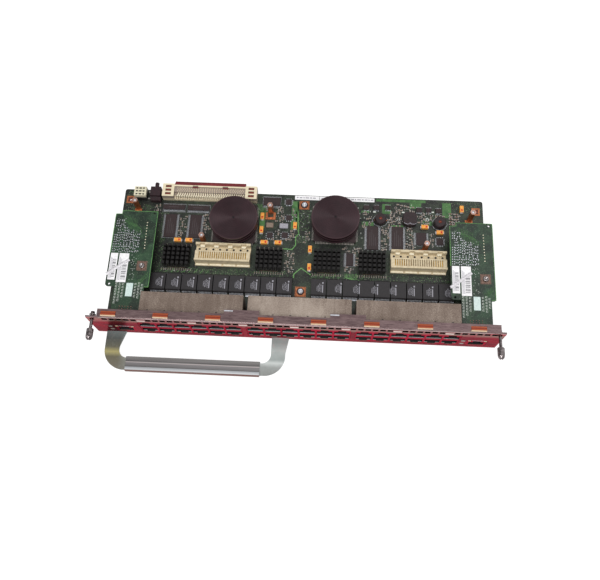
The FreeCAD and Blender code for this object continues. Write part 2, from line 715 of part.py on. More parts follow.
def stacking_connector(card, name):
    """Tall connector between an uplink board and the main board."""
    part = box(f"stacking_connector_{name}", ("stack_width", "stack_length", "card_lift"), "0", "0", "0")
    hand_in(part, f"stacking_connector_{name}", x=f"{card_x(card)} + stack_x - stack_width / 2", y="stack_y")


def status_lamps():
    """Two lamps beside each uplink jack, seated in the panel."""
    body = new_body("status_lamps")
    sketch = sketch_on(body, "XZ_Plane")
    for card in range(len(CARDS)):
        for lamp in ("lamp_low", "lamp_high"):
            rectangle(sketch, f"{jack_x(card)} - lamp_offset - lamp_width / 2", f"{lamp} - lamp_height / 2",
                      "lamp_width", "lamp_height")
    pad(body, sketch, "lamp_length", flip=True)
    hand_in(body, "status_lamps", y="-face_recess - face_shift")


def main_board():
    """Board with rounded corners and two corner holes."""
    body = new_body("main_board")
    corners = (("-board_left", "board_front"), ("board_right", "board_front"),
               ("board_right", "board_back"), ("-board_left", "board_back"))
    sketch = sketch_on(body, "XY_Plane")
    outline(sketch, corners)
    for side in (-1, 1):
        circle(sketch, f"{side} * corner_hole_x", "corner_hole_y", "corner_hole_radius")
    pad(body, sketch, "board_gauge")
    round_off(body, upright(corners), "board_corner")
    hand_in(body, "main_board", z="-board_gauge")


def posts():
    """Six-sided posts on the main board, threaded where they stand free of the uplink boards."""
    pieces = []
    for x, y in POSTS:
        outside = prism("post", "post_radius", "card_lift", x, y, "0")
        bore = rod("bore", "post_bore", "post_depth", x, y, "card_lift - post_depth")
        pieces.append(cut("threaded_post", outside, bore))
    for card in range(len(CARDS)):
        x = f"{card_x(card)} + card_post_x"
        pieces.append(prism("card_post", "post_radius", "card_lift", x, "card_post_y", "0"))
    group("posts", pieces)


def panel_spacers():
    """Six-sided spacers between the lower flange and the board."""
    height = "board_top - panel_gauge - board_gauge"
    pieces = [prism("spacer", "spacer_radius", height, x, "spacer_y", "panel_gauge - board_top")
              for x in PANEL_SPACERS]
    group("panel_spacers", pieces)


def handle_frame():
    """Flat strap cut to a U, with feet welded to the lower flange."""
    body = new_body("handle_frame")
    inner_left = "handle_left + strap_width"
    inner_right = "handle_right - strap_width"
    front = "-handle_reach"
    inside = "bar_width - handle_reach"
    root = "-fit_gap"
    corners = (("handle_left + foot_step", "foot_back"), ("handle_left + foot_step", root),
               ("handle_left", root), ("handle_left", front), ("handle_right", front),
               ("handle_right", "-flare_reach"), ("handle_right + right_flare", root),
               ("handle_right - foot_step", root), ("handle_right - foot_step", "foot_back"),
               (f"{inner_right} + foot_step", "foot_back"), (f"{inner_right} + foot_step", root),
               (inner_right, root), (inner_right, inside), (inner_left, inside), (inner_left, "-flare_reach"),
               (f"{inner_left} + left_flare", root), (f"{inner_left} - foot_step", root),
               (f"{inner_left} - foot_step", "foot_back"))
    sketch = sketch_on(body, "XY_Plane")
    outline(sketch, corners)
    pad(body, sketch, "strap_gauge")
    round_off(body, upright(corners[3:5]), "corner_outer")
    round_off(body, upright(corners[12:15]), "corner_inner")
    hand_in(body, "handle_frame", y="-face_shift", z="panel_gauge - board_top")


def handle_grip():
    """Ridged sleeve around the cross bar."""
    body = new_body("handle_grip")
    section = sketch_on(body, "YZ_Plane")
    third = "grip_width / 6"
    half = "grip_width / 2"
    high = "grip_height / 2"
    low = "grip_height / 2 - grip_groove"
    upper = [(f"-{half}", f"{high} / 2"), (f"-{half} + grip_groove", high), (f"-{third} - grip_groove", high),
             (f"-{third}", low), (f"{third}", low), (f"{third} + grip_groove", high),
             (f"{half} - grip_groove", high), (half, f"{high} / 2")]
    lower = [(y, f"-({z})") for y, z in reversed(upper)]
    outline(section, upper + lower)
    bar = "(bar_width / 2 + fit_gap)"
    strap = "(strap_gauge / 2 + fit_gap)"
    rectangle(section, f"-{bar}", f"-{strap}", f"2 * {bar}", f"2 * {strap}")
    pad(body, section, "grip_length")
    hand_in(body, "handle_grip", x="grip_left", y="bar_width / 2 - handle_reach - face_shift",
            z="panel_gauge + strap_gauge / 2 - board_top")


def thumbscrew(side, name, push):
    """Captive screw: knob, plain shank and a wider threaded end that its ring can't pass."""
    body = new_body(f"thumbscrew_{name}")
    knob_front = "-shank_reach - knob_length"
    thread = "panel_gauge + ring_play + ring_gauge + fit_gap"
    tip = f"{thread} + thread_length"
    section = sketch_on(body, "XY_Plane")
    outline(section, (("0", knob_front), ("knob_radius - knob_crown", knob_front),
                      ("knob_radius", f"{knob_front} + knob_crown"), ("knob_radius", "-shank_reach"),
                      ("shank_radius", "-shank_reach"), ("shank_radius", thread),
                      ("thread_radius", thread), ("thread_radius", tip), ("0", tip)))
    turn(body, section, "Y_Axis")
    hand_in(body, f"thumbscrew_{name}", x=f"{side} * (panel_width / 2 - screw_inset)",
            y=f"{push} - face_shift", z="panel_height - screw_drop - board_top")


def retaining_ring(side, name, push):
    """Ring on the screw's shank behind the ear, kept there by the wider threaded end."""
    body = new_body(f"retaining_ring_{name}")
    section = sketch_on(body, "XZ_Plane")
    circle(section, "0", "0", "ring_radius")
    circle(section, "0", "0", "shank_radius + fit_gap")
    pad(body, section, "ring_gauge", flip=True)
    hand_in(body, f"retaining_ring_{name}", x=f"{side} * (panel_width / 2 - screw_inset)",
            y=f"panel_gauge + ring_play + {push} - face_shift", z="panel_height - screw_drop - board_top")


def large_chip(name, x, y):
    """Chip under a round heat sink."""
    part = box(f"switch_chip_{name}", ("chip_side", "chip_side", "chip_height"), "0", "0", "0")
    hand_in(part, f"switch_chip_{name}", x=f"{x} - chip_side / 2", y=f"{y} + chip_shift - chip_side / 2")


def round_heat_sink(x, y):
    """Stack of discs on a six-sided stem, with a square foot."""
    body = new_body("round_heat_sink")
    foot = sketch_on(body, "XY_Plane")
    rectangle(foot, "-foot_side / 2", "-foot_side / 2", "foot_side", "foot_side")
    pad(body, foot, "foot_height")
    stem = sketch_on(body, "XY_Plane")
    hexagon(stem, "0", "0", "stem_radius")
    pad(body, stem, "sink_height")
    disc = sketch_on(body, "XY_Plane", f"sink_height - {FIN_DISCS - 1} * fin_pitch - fin_gauge")
    circle(disc, "0", "0", "fin_radius")
    lowest = pad(body, disc, "fin_gauge")
    row(body, lowest, "Z_Axis", FIN_DISCS, "fin_pitch")
    place(body, x, y, "chip_height")
    return body


def pin_chip(number, x, y):
    """Chip under a pin-fin heat sink."""
    part = box(f"link_chip_{number}", ("pin_chip_side", "pin_chip_side", "pin_chip_height"), "0", "0", "0")
    hand_in(part, f"link_chip_{number}", x=f"{x} - pin_chip_side / 2", y=f"{y} - pin_chip_side / 2")


def pin_heat_sink(number, x, y):
    """Block cut crosswise into pins."""
    body = new_body(f"pin_heat_sink_{number}")
    solid = sketch_on(body, "XY_Plane")
    rectangle(solid, "0", "0", "pin_sink_length", "pin_sink_width")
    pad(body, solid, "pin_sink_height")
    across = f"(pin_sink_length + pin_gap) / {PIN_COLUMNS}"
    along = f"(pin_sink_width + pin_gap) / {PIN_ROWS}"
    columns = sketch_on(body, "XY_Plane", "pin_sink_height")
    rectangle(columns, f"{across} - pin_gap", "0", "pin_gap", "pin_sink_width")
    row(body, pocket(body, columns, "pin_sink_height - pin_base"), "X_Axis", PIN_COLUMNS - 1, across)
    rows = sketch_on(body, "XY_Plane", "pin_sink_height")
    rectangle(rows, "0", f"{along} - pin_gap", "pin_sink_length", "pin_gap")
    row(body, pocket(body, rows, "pin_sink_height - pin_base"), "Y_Axis", PIN_ROWS - 1, along)
    hand_in(body, f"pin_heat_sink_{number}", x=f"{x} - pin_sink_length / 2", y=f"{y} - pin_sink_width / 2",
            z="pin_chip_height")


def mezzanine_connector(name, x):
    """Long connector with a front wall, a slotted contact block and a latched back wall."""
    body = new_body(f"mezzanine_connector_{name}")
    block_front = "mezzanine_ledge + mezzanine_wall"
    trough_back = "mezzanine_depth - latch_wall"
    section = sketch_on(body, "YZ_Plane")
    outline(section, (("0", "0"), ("mezzanine_depth", "0"), ("mezzanine_depth", "latch_top"),
                      (trough_back, "latch_top"), (trough_back, "trough_height"),
                      ("contact_back", "trough_height"), ("contact_back", "contact_height"),
                      (block_front, "contact_height"), (block_front, "mezzanine_height"),
                      ("mezzanine_ledge", "mezzanine_height"), ("mezzanine_ledge", "mezzanine_step"),
                      ("0", "mezzanine_step")))
    pad(body, section, "mezzanine_length", middle=True)
    slot = sketch_on(body, "XY_Plane", "contact_height")
    rectangle(slot, f"-{(CONTACT_SLOTS - 1) / 2} * contact_pitch - contact_gap / 2",
              "contact_back - contact_margin - contact_length", "contact_gap", "contact_length")
    row(body, pocket(body, slot, "contact_depth"), "X_Axis", CONTACT_SLOTS, "contact_pitch")
    latch = sketch_on(body, "XY_Plane", "latch_top")
    rectangle(latch, f"-{(LATCHES - 1) / 2} * latch_pitch - latch_notch / 2", trough_back,
              "latch_notch", "latch_cut")
    row(body, pocket(body, latch, "latch_drop"), "X_Axis", LATCHES, "latch_pitch")
    gap = sketch_on(body, "XY_Plane", "mezzanine_step")
    rectangle(gap, f"-{(LATCHES - 2) / 2} * latch_pitch - bar_gap / 2", "0", "bar_gap", "mezzanine_ledge")
    row(body, pocket(body, gap, "bar_drop"), "X_Axis", LATCHES - 1, "latch_pitch")
    hand_in(body, f"mezzanine_connector_{name}", x=x, y="mezzanine_y")


def bus_connector():
    """Rear connector: stepped body with contact tails, end blocks and two key notches."""
    body = new_body("bus_connector")
    rim_front = "bus_depth - bus_rim"
    section = sketch_on(body, "YZ_Plane", "bus_end")
    outline(section, (("0", "0"), ("bus_depth", "0"), ("bus_depth", "bus_height"), (rim_front, "bus_height"),
                      (rim_front, "bus_roof"), ("bus_roof_front", "bus_roof"),
                      ("bus_roof_front", "bus_shelf"), ("tail_depth", "bus_shelf"), ("0", "tail_low")))
    pad(body, section, "bus_length - 2 * bus_end")
    ends = sketch_on(body, "XY_Plane")
    wells = sketch_on(body, "XY_Plane", "bus_height")
    for left in ("0", "bus_length - bus_end"):
        rectangle(ends, left, "0", "bus_end", "bus_end_depth")
        for number in range(WELLS):
            rectangle(wells, f"{left} + (bus_end - well_length) / 2", f"well_first + {number} * well_pitch",
                      "well_length", "well_width")
    pad(body, ends, "bus_height")
    pocket(body, wells, "well_depth")
    tail = sketch_on(body, "XY_Plane", "bus_shelf")
    rectangle(tail, f"bus_length / 2 - {(TAILS - 1) / 2} * tail_pitch - tail_gap / 2", "0",
              "tail_gap", "tail_depth")
    row(body, pocket(body, tail, "tail_drop"), "X_Axis", TAILS, "tail_pitch")
    keys = sketch_on(body, "XY_Plane", "bus_height")
    for middle in NOTCHES:
        rectangle(keys, f"{middle} - bus_left - key_width / 2", rim_front, "key_width", "key_depth")
    pocket(body, keys, "bus_height - bus_roof")
    hand_in(body, "bus_connector", x="bus_left", y="bus_y")


def bus_end_contacts():
    """Power contacts in the wells of the bus connector's end blocks."""
    pieces = []
    sides = ("well_length - 2 * blade_inset", "well_width - 2 * blade_inset", "blade_height")
    for left in ("bus_left", "bus_left + bus_length - bus_end"):
        x = f"{left} + (bus_end - well_length) / 2 + blade_inset"
        for number in range(WELLS):
            y = f"bus_y + well_first + {number} * well_pitch + blade_inset"
            pieces.append(box("end_contact", sides, x, y, "bus_height - well_depth"))
    group("bus_end_contacts", pieces)


def mating_strip():
    """Stepped strip behind the bus connector that enters the chassis."""
    body = new_body("mating_strip")
    front = "bus_y + bus_depth + fit_gap"
    back = f"(strip_reach - ({front}))"
    section = sketch_on(body, "YZ_Plane")
    outline(section, (("0", "strip_low"), (f"{back} - strip_bevel", "strip_low"),
                      (back, "strip_low + strip_bevel"), (back, "strip_high - strip_step - strip_bevel"),
                      (f"{back} / 2", "strip_high - strip_step"), (f"{back} / 2", "strip_high"),
                      ("0", "strip_high")))
    pad(body, section, "strip_length")
    hand_in(body, "mating_strip", x="strip_left", y=front)


def guide_block():
    """Block with a stepped front, a rib on its side and a round pin to the rear."""
    body = new_body("guide_block")
    section = sketch_on(body, "YZ_Plane")
    outline(section, (("0", "0"), ("guide_depth", "0"), ("guide_depth", "guide_height"),
                      ("guide_step", "guide_height"), ("guide_step", "guide_height - guide_drop"),
                      ("0", "guide_height - guide_drop - guide_slope")))
    pad(body, section, "guide_width")
    pin = sketch_on(body, "XZ_Plane", "-guide_depth")
    circle(pin, "guide_width / 2", "guide_pin_height", "guide_pin_radius")
    pad(body, pin, "guide_pin_length", flip=True)
    rib = sketch_on(body, "XY_Plane")
    rectangle(rib, "guide_width", "guide_depth / 2", "guide_rib", "guide_rib_length")
    pad(body, rib, "guide_rib_height")
    x, y = GUIDE
    hand_in(body, "guide_block", x=x, y=y)


def header():
    """White cap with three rows of sockets on a black base."""
    x, y = HEADER
    base = box("header_base", ("header_width", "header_depth", "header_base"), "0", "0", "0")
    hand_in(base, "header_base", x=x, y=y)
    body = new_body("header_cap")
    cap = sketch_on(body, "XY_Plane")
    rectangle(cap, "0", "cap_setback", "header_width", "header_depth - cap_setback")
    pad(body, cap, "header_cap")
    sockets = sketch_on(body, "XY_Plane", "header_cap")
    for number in range(SOCKETS):
        middle = f"header_width / 2 + {number - (SOCKETS - 1) / 2} * socket_pitch"
        rectangle(sockets, f"{middle} - socket_length / 2", "cap_setback + socket_width",
                  "socket_length", "socket_width")
    row(body, pocket(body, sockets, "socket_depth"), "Y_Axis", SOCKET_ROWS, "socket_row")
    hand_in(body, "header_cap", x=x, y=y, z="header_base")


def line_transformers(name, left):
    """Row of equal transformers with bevelled upper edges."""
    body = new_body(f"line_transformers_{name}")
    shoulder = "transformer_height - transformer_edge"
    section = sketch_on(body, "YZ_Plane")
    outline(section, (("0", "0"), ("transformer_depth", "0"), ("transformer_depth", shoulder),
                      ("transformer_depth - transformer_edge", "transformer_height"),
                      ("transformer_edge", "transformer_height"), ("0", shoulder)))
    first = pad(body, section, "transformer_width")
    row(body, first, "X_Axis", TRANSFORMERS, "transformer_pitch")
    hand_in(body, f"line_transformers_{name}", x=left, y="transformer_y")


def memory_chips():
    """Four equal memory chips."""
    sides = ("memory_width", "memory_length", "memory_height")
    pieces = [box("memory_chip", sides, f"{x} - memory_width / 2", f"{y} - memory_length / 2", "0")
              for x, y in MEMORY_CHIPS]
    group("memory_chips", pieces)


def flat_chips():
    """Logic and regulator chips of several sizes."""
    pieces = [box("flat_chip", (length, width, height), x - length / 2, y - width / 2, "0")
              for x, y, length, width, height in FLAT_CHIPS]
    group("flat_chips", pieces)


def tantalum_capacitors():
    """Moulded capacitors lying along X or Y."""
    pieces = []
    for x, y, axis in CAPACITORS:
        sides = ("capacitor_length", "capacitor_width")
        length, width = sides if axis == "x" else reversed(sides)
        pieces.append(box("capacitor", (length, width, "capacitor_height"), f"{x} - {length} / 2",
                          f"{y} - {width} / 2", "0"))
    group("tantalum_capacitors", pieces)


def drum_inductor(x, y):
    """Drum core with a bevelled upper edge."""
    body = new_body("drum_inductor")
    shoulder = "drum_height - drum_bevel"
    section = sketch_on(body, "XZ_Plane")
    outline(section, (("0", "0"), ("drum_radius", "0"), ("drum_radius", shoulder),
                      ("drum_radius - drum_bevel", "drum_height"), ("0", "drum_height")))
    turn(body, section, "Z_Axis")
    place(body, x, y, "0")
    return body


def square_inductor():
    """Square core with cut corners."""
    x, y = COIL
    body = new_body("square_inductor")
    half_x = "coil_width / 2"
    half_y = "coil_length / 2"
    corners = []
    for side_x, side_y in ((1, -1), (1, 1), (-1, 1), (-1, -1)):
        along = (f"{side_x} * ({half_x} - coil_corner)", f"{side_y} * {half_y}")
        across = (f"{side_x} * {half_x}", f"{side_y} * ({half_y} - coil_corner)")
        corners += [along, across] if side_x * side_y < 0 else [across, along]
    sketch = sketch_on(body, "XY_Plane")
    outline(sketch, corners)
    pad(body, sketch, "coil_height")
    hand_in(body, "square_inductor", x=x, y=y)


def build():
    """Makes every sub-part of the module."""
    front_panel()
    gasket_clips()
    handle_frame()
    handle_grip()
    for side, name, push in ((-1, "left", "left_push"), (1, "right", "0")):
        thumbscrew(side, name, push)
        retaining_ring(side, name, push)
    main_board()
    for block in range(BLOCKS):
        port_shield(block)
        port_housing(block)
    for card, name in enumerate(CARDS):
        uplink_board(card, name)
        uplink_shield(card, name)
        uplink_housing(card, name)
        stacking_connector(card, name)
    status_lamps()
    posts()
    panel_spacers()
    for name, x, y in LARGE_CHIPS:
        large_chip(name, x, y)
    group("round_heat_sinks", [round_heat_sink(x, y) for name, x, y in LARGE_CHIPS])
    for number, (x, y) in enumerate(PIN_SINKS, start=1):
        pin_chip(number, x, y)
        pin_heat_sink(number, x, y)
    for name, x in MEZZANINES:
        mezzanine_connector(name, x)
    bus_connector()
    bus_end_contacts()
    mating_strip()
    guide_block()
    header()
    for name, left in TRANSFORMER_ROWS:
        line_transformers(name, left)
    memory_chips()
    flat_chips()
    tantalum_capacitors()
    group("drum_inductors", [drum_inductor(x, y) for x, y in DRUMS])
    square_inductor()
    doc.recompute()


def export():
    """Writes one STEP file per sub-part once the whole document is sound."""
    for item in doc.Objects:
        faults = {"Invalid", "Error"} & set(item.State)
        if faults:
            raise RuntimeError(f"{item.Label}: {faults}")
    os.makedirs("parts", exist_ok=True)
    for part in sub_parts:
        if part.Shape.isNull() or not part.Shape.isValid():
            raise RuntimeError(f"{part.Label}: bad shape")
        part.Shape.exportStep(f"parts/{part.Label}.step")


build()
export()
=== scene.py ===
import math

import bmesh
import bpy
from mathutils import Matrix, Vector


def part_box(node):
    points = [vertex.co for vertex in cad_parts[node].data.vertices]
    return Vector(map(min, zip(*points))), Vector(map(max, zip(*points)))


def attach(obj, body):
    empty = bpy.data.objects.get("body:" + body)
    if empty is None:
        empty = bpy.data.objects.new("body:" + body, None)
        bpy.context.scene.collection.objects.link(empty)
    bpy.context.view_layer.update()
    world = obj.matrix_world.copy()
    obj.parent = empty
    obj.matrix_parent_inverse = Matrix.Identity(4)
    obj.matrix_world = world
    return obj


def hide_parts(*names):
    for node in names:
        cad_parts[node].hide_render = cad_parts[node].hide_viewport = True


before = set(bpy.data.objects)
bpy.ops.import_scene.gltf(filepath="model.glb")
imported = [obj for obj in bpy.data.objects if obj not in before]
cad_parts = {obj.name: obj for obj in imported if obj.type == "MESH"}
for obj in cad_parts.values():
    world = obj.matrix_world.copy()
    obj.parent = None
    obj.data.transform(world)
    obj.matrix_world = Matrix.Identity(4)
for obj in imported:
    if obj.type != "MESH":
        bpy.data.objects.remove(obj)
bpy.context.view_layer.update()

# Places are in millimetres: x from the panel's middle, y behind the depth line, z above the main board
MM = 0.001
FACE = -1.0  # front of the panel
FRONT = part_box("front_panel")[0][1] - FACE * MM
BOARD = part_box("main_board")[1][2]
BODY = "module"
SIDES = ("left", "right")
CARD_TOP = (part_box("uplink_board_left")[1][2] - BOARD) / MM
CARD_LEFT = [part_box(f"uplink_board_{side}")[0][0] / MM for side in SIDES]
FLANGE_TOP = (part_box("front_panel")[1][2] - BOARD) / MM
BLOCK_TOP = (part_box("port_shield_1")[1][2] - BOARD) / MM
PORT_PITCH, PORTS = 13.97, 6
PRINT = 0.04  # thickness of print and tracks
DISC_RADIUS = 20.75
VENTS_FROM, VENTS_TO, VENT_GROUP = 0.835, 0.96, 40.7  # shares of the panel's height, and the width of a group


def spot(x, y, z=0.0):
    """Point of the scene for a place on the module."""
    return Vector((x * MM, FRONT + y * MM, BOARD + z * MM))


def place_of(node):
    """Lowest and highest corner of a CAD node as places on the module."""
    low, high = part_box(node)
    shift = Vector((0.0, FRONT, BOARD))
    return (Vector(low) - shift) / MM, (Vector(high) - shift) / MM


def srgb(red, green, blue):
    """Linear colour for the eight-bit values of a screen colour."""
    def linear(level):
        level /= 255
        return level / 12.92 if level <= 0.04045 else ((level + 0.055) / 1.055) ** 2.4
    return linear(red), linear(green), linear(blue), 1.0


# Finishes; colours are screen colours

EDGE_TINT = srgb(204, 179, 178)


def new_finish(name):
    """New material and its node tree."""
    material = bpy.data.materials.new(f"{name}_finish")
    material.use_nodes = True
    return material, material.node_tree


def shader_of(tree):
    return tree.nodes["Principled BSDF"]


def add(tree, kind, inputs=None, **settings):
    """New node with some of its settings and input values."""
    item = tree.nodes.new(kind)
    for key, setting in settings.items():
        setattr(item, key, setting)
    for key, level in (inputs or {}).items():
        item.inputs[key].default_value = level
    return item


def join(tree, *links):
    """Links outputs to inputs, each as (node, output, node, input)."""
    for source, output, target, socket in links:
        tree.links.new(source.outputs[output], target.inputs[socket])


def axis_value(tree, output, axis):
    source, parts = add(tree, "ShaderNodeTexCoord"), add(tree, "ShaderNodeSeparateXYZ")
    join(tree, (source, output, parts, 0))
    return parts.outputs[axis]


def along(tree, axis):
    """Place along one axis of the object."""
    return axis_value(tree, "Object", axis)


def facing(tree, axis):
    """Share of the surface's direction along one axis of the object."""
    return axis_value(tree, "Normal", axis)


def grain(tree, scale, detail=4.0, stretch=(1, 1, 1)):
    """Soft noise in the object's own coordinates; scale counts spots per metre."""
    source = add(tree, "ShaderNodeTexCoord")
    mapping = add(tree, "ShaderNodeMapping", {"Scale": stretch})
    noise = add(tree, "ShaderNodeTexNoise", {"Scale": scale, "Detail": detail, "Roughness": 0.6})
    join(tree, (source, "Object", mapping, "Vector"), (mapping, "Vector", noise, "Vector"))
    return noise.outputs["Fac"]


def ramp(tree, factor, *stops):
    """Colours along a factor, as (position, colour) stops."""
    item = add(tree, "ShaderNodeValToRGB")
    elements = item.color_ramp.elements
    while len(elements) < len(stops):
        elements.new(0.5)
    for element, (position, colour) in zip(elements, stops):
        element.position = position
        element.color = srgb(*colour)
    tree.links.new(factor, item.inputs["Fac"])
    return item.outputs["Color"]


def fill(tree, sockets, terms):
    """Gives each socket a link where its term is an output, and otherwise the term as its value."""
    for socket, term in zip(sockets, terms):
        if isinstance(term, bpy.types.NodeSocket):
            tree.links.new(term, socket)
        else:
            socket.default_value = term


def math_node(tree, operation, first, second=0.0):
    item = add(tree, "ShaderNodeMath", operation=operation)
    fill(tree, item.inputs, (first, second))
    return item.outputs[0]


def times(tree, first, second):
    return math_node(tree, "MULTIPLY", first, second)


def plus(tree, first, second):
    return math_node(tree, "ADD", first, second)


def under(tree, factor, limit):
    """1 where the factor is below a limit."""
    return math_node(tree, "LESS_THAN", factor, limit)


def within(tree, factor, limit):
    """1 where the factor is below a limit on either side of zero."""
    return under(tree, math_node(tree, "ABSOLUTE", factor), limit)


def vector_node(tree, operation, first, second):
    """Vector made from two others, each a vector or an output."""
    item = add(tree, "ShaderNodeVectorMath", operation=operation)
    fill(tree, item.inputs, (first, second))
    return item.outputs["Vector"]


def between(tree, factor, low, high, start=0.0, end=1.0):
    """Number that runs from low to high while the factor runs from start to end."""
    limits = {"From Min": start, "From Max": end, "To Min": low, "To Max": high}
    item = add(tree, "ShaderNodeMapRange", limits)
    tree.links.new(factor, item.inputs["Value"])
    return item.outputs["Result"]


def rise(tree, factor, start, end, most=1.0):
    """Number that is 0 up to start and grows to its most at end."""
    return between(tree, factor, 0.0, most, start, end)


def fall(tree, factor, start, end):
    """Number that is 1 up to start and 0 from end on."""
    return between(tree, factor, 1.0, 0.0, start, end)


def blended(tree, factor, first, second):
    """Colour that goes from the first to the second, each a colour or an output."""
    item = add(tree, "ShaderNodeMix", data_type="RGBA")
    sockets = [socket for socket in item.inputs if socket.type == "RGBA"]
    fill(tree, sockets, [srgb(*term) if isinstance(term, tuple) else term for term in (first, second)])
    tree.links.new(factor, item.inputs["Factor"])
    return next(socket for socket in item.outputs if socket.type == "RGBA")


def finished(material, colour, gloss, bump, metallic=0.0, height=None, depth=0.0002):
    """Ends a finish with its colour, a roughness that follows (factor, low, high), and a relief."""
    tree = material.node_tree
    surface = add(tree, "ShaderNodeBump", {"Strength": bump, "Distance": depth})
    tree.links.new(gloss[0] if height is None else height, surface.inputs["Height"])
    sockets = [shader_of(tree).inputs[name] for name in ("Base Color", "Roughness", "Metallic", "Normal")]
    fill(tree, sockets, (colour, between(tree, *gloss), metallic, surface.outputs["Normal"]))
    return material


def mottled(name, dark, light, scale, rough, metallic=0.0, stretch=(1, 1, 1), bump=0.15):
    """Finish whose colour, gloss and surface follow one grain."""
    material, tree = new_finish(name)
    factor = grain(tree, scale, stretch=stretch)
    colour = ramp(tree, factor, (0.3, dark), (0.7, light))
    return finished(material, colour, (factor, *rough), bump, metallic)


def facing_front(tree):
    """1 on faces that look out of the panel, 0 elsewhere."""
    return fall(tree, facing(tree, "Y"), -0.75, -0.45)


def panel_sheet():
    """Plated sheet: on the front a painted reflection of a red surface, deep red and browner under the upper
    bend; a painted highlight on the bend; mauve grey on the folds.

    The strip of the vents is mauve with a painted highlight as a white stripe between groups, and the vents'
    walls are painted dark as shade behind a thin painted highlight on their front edge.
    """
    material, tree = new_finish("panel")
    low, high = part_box("front_panel")
    front = facing_front(tree)
    wear = grain(tree, 900, stretch=(0.15, 1, 1))
    height = rise(tree, along(tree, "Z"), low[2], high[2])
    across = along(tree, "X")
    clouds = grain(tree, 60, 3.0, (1, 1, 2))
    # painted reflection of a red surface: deep red on the front, browner toward the top
    stained = blended(tree, rise(tree, clouds, 0.4, 0.6), (150, 138, 128), (173, 92, 100))
    reflected_red = ramp(tree, clouds, (0.35, (112, 44, 60)), (0.5, (129, 38, 56)), (0.66, (158, 44, 62)))
    red = blended(tree, rise(tree, height, 0.68, 0.8), reflected_red, stained)
    scuffed = blended(tree, rise(tree, wear, 0.5, 0.75, 0.4), red, (173, 92, 104))
    strip_reach, bar_half, bar_top = 0.15, 0.0033, 0.895
    strip = times(tree, rise(tree, height, VENTS_FROM - 0.005, VENTS_FROM + 0.005),
                  within(tree, across, strip_reach))
    scuffed = blended(tree, strip, scuffed, (152, 118, 118))
    # painted highlight: a white stripe on the front at each gap between vent groups
    group_gap_highlight = under(tree, math_node(tree, "PINGPONG", across, VENT_GROUP / 2 * MM), bar_half)
    group_gap_highlight = times(tree, times(tree, group_gap_highlight, strip), under(tree, height, bar_top))
    scuffed = blended(tree, group_gap_highlight, scuffed, (246, 242, 236))
    grey = ramp(tree, wear, (0.3, (92, 74, 76)), (0.7, (130, 110, 110)))
    folded = blended(tree, front, grey, scuffed)
    # painted highlight: bright grey along the rounded upper bend
    upward = facing(tree, "Z")
    bend = times(tree, rise(tree, upward, 0.4, 0.55), fall(tree, upward, 0.65, 0.8))
    worn = blended(tree, bend, folded, (226, 216, 212))
    # painted shade: the vents' walls dark from just behind the front, with a thin painted highlight on their
    # front edge
    shaded_vent_walls = times(tree, math_node(tree, "GREATER_THAN", height, VENTS_FROM), under(tree, height, VENTS_TO))
    for size, limit in ((facing(tree, "Y"), 0.5), (across, 0.164)):
        shaded_vent_walls = times(tree, shaded_vent_walls, within(tree, size, limit))
    sheet = 0.0015
    behind = rise(tree, along(tree, "Y"), low[1], low[1] + sheet)
    edge = ramp(tree, behind, (0.04, (216, 208, 200)), (0.1, (10, 8, 9)))
    shader_of(tree).inputs["Specular Tint"].default_value = EDGE_TINT
    colour = blended(tree, shaded_vent_walls, worn, edge)
    return finished(material, colour, (wear, 0.2, 0.36), 0.06, between(tree, front, 0.5, 1.0))


def shield_sheet():
    """Tinned sheet with rolling streaks and stains, the middle block lighter away from its ends as painted
    light, and on its front deep red as a painted reflection of a red surface, like the panel.
    """
    material, tree = new_finish("shield")
    low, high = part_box("port_shield_2")
    front = facing_front(tree)
    streaks = grain(tree, 260, stretch=(1, 0.12, 1))
    stains = grain(tree, 28, 5.0)
    mixed = plus(tree, times(tree, streaks, 0.15), times(tree, stains, 0.3))
    mixed = plus(tree, mixed, between(tree, grain(tree, 1400, 2.0), 0.1, 0.45))
    across = along(tree, "X")
    lit = times(tree, rise(tree, across, low[0] - 0.002, low[0] + 0.01, 0.09),
                fall(tree, across, high[0] - 0.03, high[0] + 0.002))
    grey = ramp(tree, plus(tree, mixed, lit),
                (0.36, (86, 74, 66)), (0.5, (120, 106, 96)), (0.66, (174, 161, 149)))
    # painted reflection of a red surface: the deep red front
    red = ramp(tree, streaks, (0.3, (147, 36, 56)), (0.7, (191, 48, 76)))
    shader_of(tree).inputs["Specular Tint"].default_value = EDGE_TINT
    colour = blended(tree, front, grey, red)
    return finished(material, colour, (streaks, 0.35, 0.55), 0.05, between(tree, front, 0.4, 1.0))


def board_mask(name, base, bright, copper, scale, share):
    """Solder mask: dark ground, brighter copper areas and fine tracks under it."""
    material, tree = new_finish(name)
    areas = grain(tree, scale, 2.0)
    ground = ramp(tree, areas, (share, base), (share + 0.08, bright))
    source = add(tree, "ShaderNodeTexCoord")
    lines = []
    for turn in (0.0, math.pi / 2):
        mapping = add(tree, "ShaderNodeMapping", {"Rotation": (0, 0, turn)})
        wave = add(tree, "ShaderNodeTexWave", {"Scale": 260.0, "Distortion": 0.0}, bands_direction="X")
        join(tree, (source, "Object", mapping, "Vector"), (mapping, "Vector", wave, "Vector"))
        lines.append(wave.outputs["Fac"])
    tracks = blended(tree, rise(tree, grain(tree, 55, 1.0), 0.47, 0.53), *lines)
    shown = times(tree, tracks, rise(tree, grain(tree, 130, 3.0), 0.45, 0.62, 0.55))
    speckle = rise(tree, grain(tree, 1500, 2.0), 0.62, 0.72, 0.5)
    colour = blended(tree, speckle, blended(tree, shown, ground, copper), (150, 165, 140))
    return finished(material, colour, (areas, 0.32, 0.5), 0.1, height=tracks, depth=0.00005)


